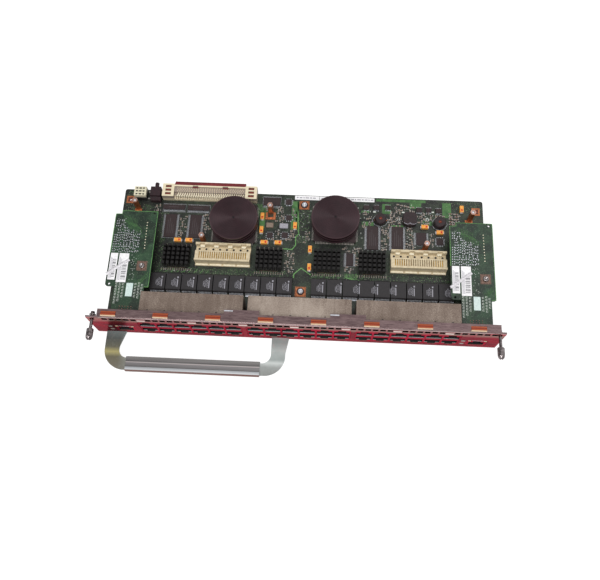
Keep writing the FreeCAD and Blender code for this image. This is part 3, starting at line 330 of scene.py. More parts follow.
def turned_discs():
    """Dark anodised discs, turned in fine rings about each middle, with a sheen across the rings; the sides
    painted darker as shade and the rim of each top painted lighter as a highlight.
    """
    material, tree = new_finish("disc")
    low, high = (Vector(corner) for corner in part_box("round_heat_sinks"))
    reach = Vector((DISC_RADIUS, DISC_RADIUS, 0)) * MM
    left, right = low + reach, high - reach
    source = add(tree, "ShaderNodeTexCoord")
    beyond = math_node(tree, "GREATER_THAN", along(tree, "X"), (left.x + right.x) / 2)
    step = add(tree, "ShaderNodeVectorMath", {0: right - left}, operation="SCALE")
    tree.links.new(beyond, step.inputs["Scale"])
    offset = vector_node(tree, "SUBTRACT", source.outputs["Object"], left)
    offset = vector_node(tree, "SUBTRACT", offset, step.outputs["Vector"])
    flat = vector_node(tree, "MULTIPLY", offset, Vector((1, 1, 0)))
    length = add(tree, "ShaderNodeVectorMath", operation="LENGTH")
    tree.links.new(flat, length.inputs[0])
    distance = length.outputs["Value"]
    ring = add(tree, "ShaderNodeVectorMath", operation="NORMALIZE")
    tree.links.new(vector_node(tree, "CROSS_PRODUCT", Vector((0, 0, 1)), flat), ring.inputs[0])
    tree.links.new(ring.outputs["Vector"], shader_of(tree).inputs["Tangent"])
    groove = 0.0019
    turning = math_node(tree, "SINE", times(tree, distance, 2 * math.pi / groove))
    haze = grain(tree, 70, 3.0)
    shade = plus(tree, times(tree, turning, 0.07), haze)
    tone = ramp(tree, shade, (0.25, (37, 20, 25)), (0.75, (54, 32, 38)))
    # painted shade on the sides, darker than the tops, and a painted highlight on the outer rim of each top
    top = rise(tree, facing(tree, "Z"), 0.5, 0.9)
    rim = times(tree, top, rise(tree, distance, 0.0200, 0.0205, 0.6))
    sides = blended(tree, top, (24, 17, 19), blended(tree, rim, tone, (88, 62, 67)))
    colour = blended(tree, rise(tree, distance, 0.0005, 0.0013), (10, 7, 8), sides)
    shader_of(tree).inputs["Anisotropic"].default_value = 0.7
    return finished(material, colour, (haze, 0.36, 0.48), 0.2, 0.3, turning, 0.00004)


def banded(name, node, axis, stops, speckle, tone, gloss, bump, metallic=0.0):
    """Finish in bands along one axis of a node, with a tone over it where its grain is strong.

    speckle holds spots per metre, stretch of the grain, and where the tone starts, ends and how strong it is.
    """
    material, tree = new_finish(name)
    low, high = (corner["XYZ".index(axis)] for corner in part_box(node))
    scale, stretch, *limits = speckle
    factor = grain(tree, scale, stretch=stretch)
    bands = ramp(tree, rise(tree, along(tree, axis), low, high), *stops)
    colour = blended(tree, rise(tree, factor, *limits), bands, tone)
    return finished(material, colour, (factor, *gloss), bump, metallic)


def galvanised():
    """Zinc with faint spangle and soft stained patches, olive on the left leg, with a paler band across each
    leg.
    """
    material, tree = new_finish("zinc")
    source = add(tree, "ShaderNodeTexCoord")
    cells = add(tree, "ShaderNodeTexVoronoi", {"Scale": 420.0, "Randomness": 1.0})
    join(tree, (source, "Object", cells, "Vector"))
    spangle = cells.outputs["Distance"]
    low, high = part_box("handle_frame")
    left_end = fall(tree, along(tree, "X"), low[0] + 0.012, low[0] + 0.03)
    reach = rise(tree, along(tree, "Y"), low[1], high[1])
    silver = ramp(tree, reach, (0.0, (134, 136, 134)), (0.2, (152, 156, 154)), (0.3, (196, 202, 200)),
                  (0.38, (156, 164, 162)), (0.6, (178, 186, 184)), (0.8, (150, 158, 156)))
    olive = ramp(tree, reach, (0.0, (116, 110, 98)), (0.3, (108, 104, 86)), (0.42, (172, 164, 112)),
                 (0.54, (104, 104, 88)), (0.75, (88, 96, 92)), (0.9, (112, 126, 124)))
    base = blended(tree, left_end, silver, olive)
    stained = blended(tree, rise(tree, grain(tree, 60, 3.0), 0.45, 0.7, 0.25), base, (112, 120, 116))
    colour = blended(tree, between(tree, spangle, 0.08, 0.0, 0.1, 0.5), stained, (190, 196, 192))
    return finished(material, colour, (spangle, 0.42, 0.58), 0.06, 0.6)


def capped_post():
    """Rust-brown brass sides under a pinkish end; the end painted lighter than the sides as painted light."""
    material, tree = new_finish("post")
    wear = grain(tree, 700)
    side = ramp(tree, wear, (0.3, (104, 50, 26)), (0.7, (190, 116, 70)))
    end = ramp(tree, wear, (0.3, (168, 128, 114)), (0.7, (206, 170, 156)))
    # painted light: the end lighter and the sides darker on the same brass
    colour = blended(tree, rise(tree, facing(tree, "Z"), 0.4, 0.8), side, end)
    return finished(material, colour, (wear, 0.22, 0.42), 0.08, 0.6)


# Dark and light colour, spots per metre, least and most roughness; metallic share, stretch and relief
MOTTLED = {
    "pins": ((10, 8, 8), (26, 22, 22), 700, (0.4, 0.6), 0.3),
    "nickel": ((118, 110, 110), (170, 164, 162), 500, (0.16, 0.3), 0.9),
    "knob": ((82, 75, 76), (150, 142, 142), 500, (0.12, 0.24), 1.0),
    "teeth": ((220, 208, 180), (244, 236, 212), 900, (0.4, 0.6)),
    "contact": ((92, 40, 34), (146, 74, 58), 900, (0.3, 0.5), 0.4),
    "cream": ((186, 170, 138), (218, 202, 170), 350, (0.4, 0.6)),
    "black": ((14, 12, 13), (34, 28, 30), 500, (0.35, 0.55)),
    "jack": ((8, 7, 8), (20, 18, 20), 600, (0.35, 0.55), 0.0, (1, 1, 1), 0.1),
    "guide": ((24, 6, 12), (44, 14, 23), 500, (0.45, 0.65)),
    "maroon": ((86, 20, 26), (128, 36, 40), 400, (0.35, 0.55), 0.0, (0.2, 1, 1)),
    "white": ((198, 190, 164), (228, 222, 196), 400, (0.4, 0.6)),
    "chip": ((31, 18, 19), (52, 34, 35), 900, (0.45, 0.65)),
    "coil": ((24, 21, 23), (40, 36, 39), 800, (0.45, 0.65)),
    "ferrite": ((24, 12, 15), (46, 27, 31), 600, (0.3, 0.5)),
    "amber": ((224, 136, 44), (246, 180, 84), 600, (0.35, 0.5)),
    "lamp": ((112, 110, 102), (166, 162, 152), 600, (0.15, 0.3)),
    "copper": ((150, 80, 48), (208, 132, 88), 700, (0.3, 0.5), 0.6),
    "gold": ((176, 128, 44), (228, 186, 92), 900, (0.25, 0.45), 0.7),
    "tin": ((132, 126, 122), (196, 190, 184), 1200, (0.3, 0.5), 0.6),
    "patch": ((186, 206, 202), (216, 230, 226), 900, (0.5, 0.7)),
    "ink": ((188, 194, 186), (226, 230, 222), 1500, (0.5, 0.7)),
    "pale_ink": ((132, 130, 138), (172, 170, 178), 1500, (0.5, 0.7)),
    "faint_ink": ((54, 46, 48), (76, 66, 68), 1500, (0.5, 0.7)),
    "tape": ((196, 192, 196), (232, 230, 234), 900, (0.4, 0.6)),
    "paper": ((226, 224, 226), (248, 247, 248), 700, (0.5, 0.7)),
    "dark_ink": ((40, 40, 46), (80, 80, 88), 1500, (0.5, 0.7)),
    "red": ((168, 24, 26), (214, 46, 40), 900, (0.4, 0.6)),
    "track": ((84, 136, 74), (116, 168, 98), 500, (0.35, 0.5)),
    "pour": ((46, 84, 44), (80, 124, 68), 300, (0.35, 0.5)),
    "bright": ((176, 178, 184), (222, 224, 230), 900, (0.25, 0.4), 0.5),
    "lens": ((196, 186, 140), (232, 226, 186), 900, (0.15, 0.3)),
    "worn": ((96, 72, 62), (140, 112, 98), 900, (0.4, 0.6), 0.4),
    "dark": ((30, 26, 26), (64, 56, 54), 2500, (0.4, 0.6)),
    "via": ((104, 122, 92), (160, 168, 138), 1500, (0.35, 0.55), 0.2),
    "body": ((92, 74, 64), (156, 138, 122), 2500, (0.4, 0.6)),
}
FINISH = {name: mottled(name, *values) for name, values in MOTTLED.items()}
FINISH.update({
    "panel": panel_sheet(), "shield": shield_sheet(), "disc": turned_discs(), "zinc": galvanised(),
    "post": capped_post(),
    "board": board_mask("board", (23, 26, 22), (32, 41, 30), (70, 86, 64), 42, 0.5),
    "card": board_mask("card", (20, 38, 26), (28, 56, 36), (62, 96, 64), 60, 0.48),
    # Copper alloy spring; its front lip painted pale as a highlight and its crease painted dark as shade
    "clip": banded("clip", "gasket_clips", "Y", (
        (0.0, (232, 206, 172)), (0.16, (236, 210, 178)), (0.22, (176, 92, 56)), (0.46, (168, 76, 44)),
        (0.52, (122, 30, 26)), (0.62, (128, 34, 28)), (0.68, (170, 80, 44)), (0.92, (164, 82, 52)),
        (1.0, (104, 48, 36))), (1200, (0.3, 1, 1), 0.4, 0.8, 0.25), (150, 80, 50), (0.25, 0.45), 0.1, 0.3),
    # Drawn sheet of the grip: long scratches, painted highlights as bright lines along its ridges, and a
    # brown front edge
    "grip": banded("grip", "handle_grip", "Y", (
        (0.0, (104, 62, 50)), (0.05, (112, 70, 58)), (0.09, (214, 218, 222)), (0.24, (164, 168, 172)),
        (0.34, (116, 114, 114)), (0.56, (120, 115, 117)), (0.6, (196, 186, 184)), (0.65, (106, 102, 102)),
        (0.93, (126, 124, 122)), (0.97, (84, 80, 78))),
        (420, (0.03, 1, 1), 0.4, 0.7, 0.4), (150, 150, 150), (0.28, 0.48), 0.12, 0.6),
    # Cream moulding with pale comb teeth below, and the shelf under its rim painted grey as shade
    "bus": banded("bus", "bus_connector", "Z", (
        (0.3, (206, 192, 164)), (0.52, (190, 176, 152)), (0.62, (128, 114, 108)), (0.9, (146, 132, 124)),
        (0.97, (226, 214, 184))), (900, (1, 1, 1), 0.4, 0.7, 0.3), (196, 180, 150), (0.4, 0.6), 0.1),
})
NODE_FINISH = {
    "front_panel": "panel", "gasket_clips": "clip", "handle_frame": "zinc", "handle_grip": "grip",
    "main_board": "board", "round_heat_sinks": "disc", "posts": "post", "panel_spacers": "nickel",
    "bus_connector": "bus", "bus_end_contacts": "contact", "mating_strip": "maroon", "guide_block": "guide",
    "header_base": "black", "header_cap": "white", "memory_chips": "chip", "flat_chips": "chip",
    "tantalum_capacitors": "amber", "drum_inductors": "ferrite", "square_inductor": "ferrite",
    "status_lamps": "lamp",
}
FAMILY_FINISH = {
    "port_shield": "shield", "uplink_shield": "shield", "port_housing": "jack", "uplink_housing": "jack",
    "uplink_board": "card", "stacking_connector": "black", "thumbscrew": "nickel", "retaining_ring": "nickel",
    "switch_chip": "chip", "link_chip": "chip", "pin_heat_sink": "pins", "mezzanine_connector": "cream",
    "line_transformers": "coil",
}


def dress_nodes():
    """Gives every CAD node its finish."""
    for name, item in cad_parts.items():
        finish = NODE_FINISH.get(name) or FAMILY_FINISH[name.rpartition("_")[0]]
        item.data.materials.clear()
        item.data.materials.append(FINISH[finish])


# Meshes

def placed(name, data):
    """New object at the origin of the scene."""
    item = bpy.data.objects.new(name, data)
    bpy.context.collection.objects.link(item)
    return item


def carried(item, body=BODY):
    """Makes an object a piece of a body."""
    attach(item, body)
    return item


def add_block(shape, low, high):
    """Block between two corners in a bmesh."""
    low, high = Vector(low), Vector(high)
    for vertex in bmesh.ops.create_cube(shape, size=1.0)["verts"]:
        vertex.co = [low[axis] + (vertex.co[axis] + 0.5) * (high[axis] - low[axis]) for axis in range(3)]


def plain_mesh(name, shape):
    mesh = bpy.data.meshes.new(name)
    shape.to_mesh(mesh)
    shape.free()
    return mesh


def mesh_from(shape, name, finish, smooth=False):
    """Plain mesh with one finish from a bmesh."""
    mesh = plain_mesh(name, shape)
    mesh.materials.append(FINISH[finish])
    for face in mesh.polygons:
        face.use_smooth = smooth
    return mesh


def plate(left, front, right, back, low=0.0, thick=PRINT):
    """Corners of a flat block over a rectangle."""
    return (left, front, low), (right, back, low + thick)


def about(x, y, across, deep, low, high):
    """Corners of a block about a middle, from its half sizes."""
    return (x - across, y - deep, low), (x + across, y + deep, high)


def blocks(name, corners, finish):
    """Piece of several blocks, each from its low to its high place."""
    shape = bmesh.new()
    for low, high in corners:
        add_block(shape, spot(*low), spot(*high))
    return carried(placed(name, mesh_from(shape, name, finish)))


def loose(name, shape):
    return placed(name, plain_mesh(name, shape))


def template(name, *corners):
    """Loose shape of blocks in millimetres, to be repeated by Geometry Nodes."""
    shape = bmesh.new()
    for low, high in corners:
        add_block(shape, Vector(low) * MM, Vector(high) * MM)
    return loose(name, shape)


def turned(profile, steps=24):
    """Closed bmesh turned about Z from (radius, height) points in millimetres."""
    shape = bmesh.new()
    rings = []
    angles = [2 * math.pi * step / steps for step in range(steps)]
    for radius, height in profile:
        if radius == 0:
            rings.append([shape.verts.new((0, 0, height * MM))])
            continue
        points = [(radius * MM * math.cos(angle), radius * MM * math.sin(angle), height * MM)
                  for angle in angles]
        rings.append([shape.verts.new(point) for point in points])
    for lower, upper in zip(rings, rings[1:]):
        for step in range(steps):
            following = (step + 1) % steps
            corners = [lower[step % len(lower)], lower[following % len(lower)],
                       upper[following % len(upper)], upper[step % len(upper)]]
            unique = list(dict.fromkeys(corners))
            if len(unique) > 2:
                shape.faces.new(unique)
    bmesh.ops.remove_doubles(shape, verts=shape.verts, dist=1e-7)
    bmesh.ops.recalc_face_normals(shape, faces=shape.faces)
    return shape


def turned_set(name, profile, places, finish):
    """Piece of equal turned shapes, one at each place."""
    shape = turned(profile)
    first = shape.verts[:] + shape.edges[:] + shape.faces[:]
    for place in places:
        copy = bmesh.ops.duplicate(shape, geom=first)["geom"]
        points = [part for part in copy if isinstance(part, bmesh.types.BMVert)]
        bmesh.ops.translate(shape, verts=points, vec=spot(*place))
    spare = [part for part in first if isinstance(part, bmesh.types.BMVert)]
    bmesh.ops.delete(shape, geom=spare, context="VERTS")
    return carried(placed(name, mesh_from(shape, name, finish, True)))


# Geometry Nodes

def new_tree(name, **sockets):
    """Empty Geometry Nodes tree with named inputs, the finish last."""
    tree = bpy.data.node_groups.new(name, "GeometryNodeTree")
    sockets = {"Geometry": "Geometry", **sockets, "Finish": "Material"}
    for label, kind in sockets.items():
        tree.interface.new_socket(label, in_out="INPUT", socket_type=f"NodeSocket{kind}")
    tree.interface.new_socket("Geometry", in_out="OUTPUT", socket_type="NodeSocketGeometry")
    return tree, add(tree, "NodeGroupInput")


def close_tree(tree, inlet, last, output):
    """Realises the instances, sets the finish and ends the tree."""
    real = add(tree, "GeometryNodeRealizeInstances")
    painted = add(tree, "GeometryNodeSetMaterial")
    outlet = add(tree, "NodeGroupOutput")
    join(tree, (last, output, real, "Geometry"), (real, "Geometry", painted, "Geometry"),
         (inlet, "Finish", painted, "Material"), (painted, "Geometry", outlet, "Geometry"))
    return tree


def row_tree():
    """Repeats a shape along each edge at an even pitch, turned to follow it."""
    tree, inlet = new_tree("rows", Shape="Object", Pitch="Float")
    curve = add(tree, "GeometryNodeMeshToCurve")
    even = add(tree, "GeometryNodeResampleCurve", mode="LENGTH")
    shape = add(tree, "GeometryNodeObjectInfo", transform_space="ORIGINAL")
    way = add(tree, "GeometryNodeInputTangent")
    turn = add(tree, "FunctionNodeAlignRotationToVector", axis="X", pivot_axis="Z")
    copies = add(tree, "GeometryNodeInstanceOnPoints")
    join(tree, (inlet, "Geometry", curve, "Mesh"), (curve, "Curve", even, "Curve"),
         (inlet, "Pitch", even, "Length"), (inlet, "Shape", shape, "Object"),
         (way, "Tangent", turn, "Vector"), (even, "Curve", copies, "Points"),
         (shape, "Geometry", copies, "Instance"), (turn, "Rotation", copies, "Rotation"))
    return close_tree(tree, inlet, copies, "Instances")


def scatter_tree():
    """Strews a shape over faces, each copy turned by a quarter or not at all."""
    tree, inlet = new_tree("scatter", Shape="Object", Density="Float", Gap="Float", Seed="Int")
    points = add(tree, "GeometryNodeDistributePointsOnFaces", distribute_method="POISSON")
    shape = add(tree, "GeometryNodeObjectInfo", transform_space="ORIGINAL")
    chance = add(tree, "FunctionNodeRandomValue", data_type="INT")
    quarter = add(tree, "ShaderNodeMath", {1: math.pi / 2}, operation="MULTIPLY")
    turn = add(tree, "ShaderNodeCombineXYZ")
    copies = add(tree, "GeometryNodeInstanceOnPoints")
    whole = [socket for socket in chance.inputs if socket.type == "INT" and socket.name in ("Min", "Max")]
    for socket, level in zip(whole, (0, 1)):
        socket.default_value = level
    number = next(socket for socket in chance.outputs if socket.type == "INT")
    tree.links.new(number, quarter.inputs[0])
    join(tree, (inlet, "Geometry", points, "Mesh"), (inlet, "Density", points, "Density Max"),
         (inlet, "Gap", points, "Distance Min"), (inlet, "Seed", points, "Seed"),
         (inlet, "Seed", chance, "Seed"), (inlet, "Shape", shape, "Object"),
         (quarter, 0, turn, "Z"), (points, "Points", copies, "Points"),
         (shape, "Geometry", copies, "Instance"), (turn, "Vector", copies, "Rotation"))
    return close_tree(tree, inlet, copies, "Instances")


def ribbon_tree():
    """Flat ribbons along the edges, for tracks and printed lines."""
    tree, inlet = new_tree("ribbons", Width="Float", Height="Float")
    curve = add(tree, "GeometryNodeMeshToCurve")
    level = add(tree, "GeometryNodeSetCurveNormal", mode="Z_UP")
    section = add(tree, "GeometryNodeCurvePrimitiveQuadrilateral")
    ribbon = add(tree, "GeometryNodeCurveToMesh", {"Fill Caps": True})
    join(tree, (inlet, "Geometry", curve, "Mesh"), (curve, "Curve", level, "Curve"),
         (inlet, "Width", section, "Width"), (inlet, "Height", section, "Height"),
         (level, "Curve", ribbon, "Curve"), (section, "Curve", ribbon, "Profile Curve"))
    return close_tree(tree, inlet, ribbon, "Mesh")


ROWS, SCATTER, RIBBONS = row_tree(), scatter_tree(), ribbon_tree()


def grown(name, mesh, tree, values):
    """Piece that a tree grows on a mesh, kept as a plain mesh."""
    item = placed(name, mesh)
    modifier = item.modifiers.new("growth", "NODES")
    modifier.node_group = tree
    for socket in tree.interface.items_tree:
        if socket.in_out == "INPUT" and socket.name in values:
            modifier[socket.identifier] = values[socket.name]
    graph = bpy.context.evaluated_depsgraph_get()
    result = bpy.data.meshes.new_from_object(item.evaluated_get(graph))
    item.modifiers.clear()
    item.data = result
    bpy.data.meshes.remove(mesh)
    if "Shape" in values:
        bpy.data.objects.remove(values["Shape"])
    return carried(item)


def edges_mesh(name, paths):
    """Mesh of open paths through places on the module."""
    points, edges = [], []
    for path in paths:
        first = len(points)
        points += [spot(*place) for place in path]
        edges += [(number, number + 1) for number in range(first, len(points) - 1)]
    mesh = bpy.data.meshes.new(name)
    mesh.from_pydata(points, edges, [])
    return mesh


def areas_mesh(name, areas, z):
    """Mesh of level rectangles, each (left, front, right, back)."""
    points, faces = [], []
    for left, front, right, back in areas:
        first = len(points)
        points += [spot(left, front, z), spot(right, front, z), spot(right, back, z), spot(left, back, z)]
        faces.append(tuple(range(first, first + 4)))
    mesh = bpy.data.meshes.new(name)
    mesh.from_pydata(points, [], faces)
    return mesh


def rows(name, shape, paths, pitch, finish):
    """Shape repeated along paths."""
    values = {"Shape": shape, "Pitch": pitch * MM, "Finish": FINISH[finish]}
    return grown(name, edges_mesh(name, paths), ROWS, values)


def strewn(name, shape, areas, z, density, gap, seed, finish):
    """Shape strewn over level rectangles; density counts copies per square centimetre."""
    values = {"Shape": shape, "Density": density * 1e4, "Gap": gap * MM, "Seed": seed,
              "Finish": FINISH[finish]}
    return grown(name, areas_mesh(name, areas, z), SCATTER, values)


def ribbons(name, paths, width, finish):
    """Flat tracks or printed lines along paths."""
    values = {"Width": width * MM, "Height": PRINT * MM, "Finish": FINISH[finish]}
    return grown(name, edges_mesh(name, paths), RIBBONS, values)


def level_path(z, *points):
    """Path at one height through points of a plan."""
    return [(x, y, z) for x, y in points]


def border_path(x, y, across, deep, z=0.0):
    """Closed rectangular path about a middle, from its half sizes."""
    return level_path(z, *((x + right * across, y + back * deep)
                           for right, back in ((-1, -1), (1, -1), (1, 1), (-1, 1), (-1, -1))))


dress_nodes()


# Details of the board and its parts

CHIP_SIDES = {"f": ((1, 0), (0, 0)), "b": ((0, 1), (1, 1)), "l": ((0, 0), (0, 1)), "r": ((1, 1), (1, 0))}
MEMORY = tuple((middle, (10.2, 22.2)) for middle in (
    (-115.1, 97.3), (-93.2, 97.4), (63.1, 92.5), (84.7, 92.9)))
LONG_CHIPS = (((-113.6, 115.2), (19.4, 4.4)), ((-91.7, 115.1), (19.2, 4.4)), ((-26.8, 124.2), (15.2, 7.6)))
SIDE_CHIPS = (((43.7, 71.2), (6.2, 11.4)), ((105.5, 93.2), (9.0, 11.6)))
SMALL_CHIPS = tuple((middle, (5.0, 4.0)) for middle in (
    (57.5, 122.0), (66.2, 122.2), (76.5, 122.6), (104.0, 121.4), (112.4, 121.4), (121.0, 121.0)))
QUAD_CHIPS = (((121.7, 91.4), (6.0, 6.8)), ((-11.8, 124.7), (5.2, 5.2)), ((-10.9, 109.0), (5.0, 4.6)),
              ((-26.8, 91.4), (5.0, 5.0)), ((-13.7, 92.0), (5.4, 5.0)))


def chip_plan(node):
    """Middle and size of a chip that is a CAD node."""
    low, high = place_of(node)
    return tuple((low[axis] + high[axis]) / 2 for axis in range(2)), tuple(high - low)[:2]


SWITCH_CHIPS = tuple(chip_plan(f"switch_chip_{side}") for side in SIDES)
LINK_CHIPS = tuple(chip_plan(f"link_chip_{number}") for number in (1, 2, 3, 4))


def lead_paths(middle, size, sides, inset):
    """Paths along the named sides of a chip, so that a lead's own Y points outward."""
    paths = []
    for side in sides:
        wide, deep = (size[0] - 2 * inset, size[1]) if side in "fb" else (size[0], size[1] - 2 * inset)
        paths.append(level_path(0.0, *((middle[0] + (across - 0.5) * wide, middle[1] + (back - 0.5) * deep)
                                       for across, back in CHIP_SIDES[side])))
    return paths


def lead(width, reach, height, gauge=0.18):
    """Gull-wing lead: shoulder, leg and foot."""
    knee, half = reach * 0.45, width / 2
    return template("lead", ((-half, -0.2, height - gauge), (half, knee, height)),
                    ((-half, knee - gauge, 0.0), (half, knee, height)),
                    ((-half, knee - gauge, 0.0), (half, reach, gauge)))


def chip_leads():
    """Leads, print and printed outlines of the flat packages."""
    for name, sets, sizes, pitch, finish in (
            ("fine_leads", ((MEMORY, "lr", 0.9), (SIDE_CHIPS, "lr", 0.6), (LONG_CHIPS, "fb", 0.7)),
             (0.5, 1.3, 0.7), 0.95, "bright"),
            ("small_leads", ((SMALL_CHIPS, "fb", 0.6), (QUAD_CHIPS, "fblr", 0.7)),
             (0.6, 1.1, 0.6), 1.25, "bright"),
            ("link_leads", ((LINK_CHIPS, "fblr", 1.2),), (0.3, 1.0, 0.8), 0.75, "worn"),
            ("switch_leads", ((SWITCH_CHIPS, "fblr", 2.2),), (0.6, 1.6, 1.3), 1.27, "tin")):
        paths = [path for chips, sides, inset in sets for middle, size in chips
                 for path in lead_paths(middle, size, sides, inset)]
        rows(name, lead(*sizes), paths, pitch, finish)
    memory_top, long_top = 1.2, 2.2
    lines = [plate(x + column, y - 7.6, x + column + 0.5, y - 7.6 + reach, memory_top) for (x, y), _ in MEMORY
             for column, reach in ((-2.6, 13.0), (-0.9, 15.2), (0.8, 11.0), (2.3, 8.4))]
    lines += [plate(x - 5.0, y - 0.4, x + 4.0, y + 0.2, long_top) for (x, y), _ in LONG_CHIPS[:2]]
    blocks("chip_print", lines, "faint_ink")
    dots = [about(x, y, 1.2, 0.6, 0, PRINT) for x, y in ((64.7, 118.4), (90.1, 119.0), (116.1, 120.1))]
    blocks("board_print", dots, "ink")
    outlines = []
    for (x, y), (wide, deep) in LONG_CHIPS + SIDE_CHIPS + MEMORY:
        margin = (0.4, 1.8) if wide > deep else (1.8, 0.4)
        outlines.append(border_path(x, y, wide / 2 + margin[0], deep / 2 + margin[1]))
    ribbons("chip_outlines", outlines, 0.3, "pale_ink")


def small_packages():
    """Square packages, a crystal can and a moulded part of the middle of the board."""
    square = [about(x, y, wide / 2, deep / 2, 0.12, 1.3) for (x, y), (wide, deep) in QUAD_CHIPS[1:]]
    blocks("square_packages", square, "chip")
    blocks("crystal_can", (((-18.6, 98.6, 0.1), (-11.2, 103.0, 1.6)),), "pale_ink")
    blocks("film_part", (((-30.4, 98.8, 0.1), (-24.2, 103.2, 1.8)),), "body")


COIL_FIRST, COIL_PITCH, COILS = (-125.2, 11.4), 13.45, 9
COIL_WIDTH, COIL_FRONT, COIL_BACK, COIL_TOP = 12.7, 35.2, 50.8, 6.0


def transformer_details():
    """Leads before and behind each transformer and the pale print on its top."""
    paths, printed = [], []
    for first in COIL_FIRST:
        start = first + COIL_WIDTH / 2
        for number in range(COILS):
            middle = (first + COIL_PITCH * number + COIL_WIDTH / 2, (COIL_FRONT + COIL_BACK) / 2)
            paths += lead_paths(middle, (COIL_WIDTH, COIL_BACK - COIL_FRONT), "fb", 0.9)
        printed.append(level_path(COIL_TOP, (start, 43.0), (start + COIL_PITCH * (COILS - 1), 43.0)))
    rows("transformer_leads", lead(0.8, 1.6, 3.4), paths, 1.2, "bright")
    marks = [plate(3.1, -5.0, 3.9, 1.8), plate(3.0, 2.9, 4.2, 4.3)]
    steps = 5
    columns = ((1.9, -4.6, 2.4), (0.8, -3.8, 3.2), (-0.3, -4.2, 2.2), (-1.4, -3.4, 1.0))
    for column, (left, low, high) in enumerate(columns):
        for step in range(steps):
            start = low + (high - low) * step / steps
            length = (high - low) / steps * (0.55 + 0.12 * ((step + column) % 3))
            marks.append(plate(left, start, left + 0.45, start + length))
    rows("transformer_print", template("print", *marks), printed, COIL_PITCH, "pale_ink")


def screw_head(radius, height):
    """Half section of a pan head with a drive recess."""
    return ((0, 0), (radius, 0), (radius, height * 0.55), (radius * 0.82, height), (radius * 0.5, height),
            (radius * 0.34, height * 0.45), (0, height * 0.4))


CORNER_HOLES = ((-154.0, 122.0), (154.0, 122.0))
POSTS = ((-146.0, 114.3), (-27.2, 114.3), (-84.4, 83.3), (108.4, 83.3), (148.5, 114.3))
POST_TOP = 14.4


def pads_and_screws():
    """Copper lands on the board and the cards, with their screws, and a bright cone in each post's bore as a
    painted highlight.
    """
    lands = [(-2.2, 118.2, 6.6, 126.6), (-2.1, 35.6, 7.1, 44.6), (-31.7, 107.2, -22.8, 109.4),
             (-31.7, 109.4, -29.7, 114.2), (-24.8, 109.4, -22.8, 114.2), (-148.8, 110.6, -142.6, 113.4),
             (-87.0, 80.2, -82.0, 82.4), (103.2, 80.4, 109.2, 83.4), (144.2, 110.4, 150.8, 113.4)]
    outer, inner = 3.6, 2.2
    for x, y in CORNER_HOLES:
        lands += [(x - outer, y - outer, x - inner, y + outer), (x + inner, y - outer, x + outer, y + outer),
                  (x - inner, y - outer, x + inner, y - inner), (x - inner, y + inner, x + inner, y + outer)]
    blocks("copper_lands", [plate(*area) for area in lands], "copper")
    worn = [plate(left + 24.3, 47.4, left + 33.0, 56.2, CARD_TOP) for left in CARD_LEFT]
    blocks("card_lands", worn, "worn")
    card = CARD_TOP + PRINT
    borders = [border_path(x, y, half, half, z) for x, y, half, z in (
        (2.2, 122.4, 3.8, PRINT), (2.5, 40.1, 4.0, PRINT),
        (-131.25, 51.8, 3.8, card), (155.75, 51.8, 3.8, card))]
    rows("land_holes", template("hole", about(0, 0, 0.28, 0.28, 0, PRINT)), borders, 1.27, "black")
    board_screws = ((2.3, 122.6, PRINT), (2.5, 40.3, PRINT))
    card_screws = ((-131.2, 51.8, card), (155.8, 51.8, card))
    washer = ((0, 0), (3.2, 0), (3.2, 0.35), (2.9, 0.5), (0, 0.5))
    eyelet = ((1.0, -1.5), (1.85, -1.5), (1.85, 0), (2.2, 0), (2.2, 0.12), (1.0, 0.12), (1.0, -1.5))
    # painted highlight: a bright cone in each post's bore, from this profile
    thread = ((0, -1.6), (0.55, -1.5), (1.2, -0.35), (1.2, -1.7), (0, -1.8))
    turned_set("screw_washers", washer, board_screws, "guide")
    turned_set("board_screws", screw_head(2.3, 1.9), board_screws, "bright")
    turned_set("card_screws", screw_head(2.5, 1.5), card_screws, "nickel")
    turned_set("corner_eyelets", eyelet, level_path(0, *CORNER_HOLES), "contact")
    turned_set("post_threads", thread, level_path(POST_TOP, *POSTS), "bright")


def socket_contacts():
    """Gold contacts, latches, lips and location holes of the mezzanine connectors."""
    slots, holes, latches, lips = [], [], [], []
    contact_pitch, latch_pitch, hole_pitch = 1.9, 11.9, 5.9
    contact_reach, hole_reach = contact_pitch * 21 / 2, hole_pitch / 2
    for side in SIDES:
        low, high = place_of(f"mezzanine_connector_{side}")
        middle = (low.x + high.x) / 2
        slots.append(level_path(4.6, *((middle + way * contact_reach, low.y + 7.4) for way in (-1, 1))))
        for number in range(4):
            x = middle + latch_pitch * (number - 1.5)
            holes.append(level_path(3.0, *((x + way * hole_reach, low.y + 14.6) for way in (-1, 1))))
            latches.append(((x - 1.9, low.y + 15.4, 3.0), (x + 1.9, low.y + 17.8, 6.05)))
            lips.append(plate(x - 5.1, low.y + 0.1, x + 5.1, low.y + 1.6, 1.5))
    blocks("socket_latches", latches, "teeth")
    blocks("socket_lips", lips, "teeth")
    contact = template("contact", about(0, 0, 0.26, 2.7, 0, 2.2))
    rows("socket_contacts", contact, slots, contact_pitch, "gold")
    disc = loose("hole", turned(((0, 0), (0.95, 0), (0.95, PRINT), (0, PRINT)), 16))
    rows("socket_holes", disc, holes, hole_pitch, "jack")


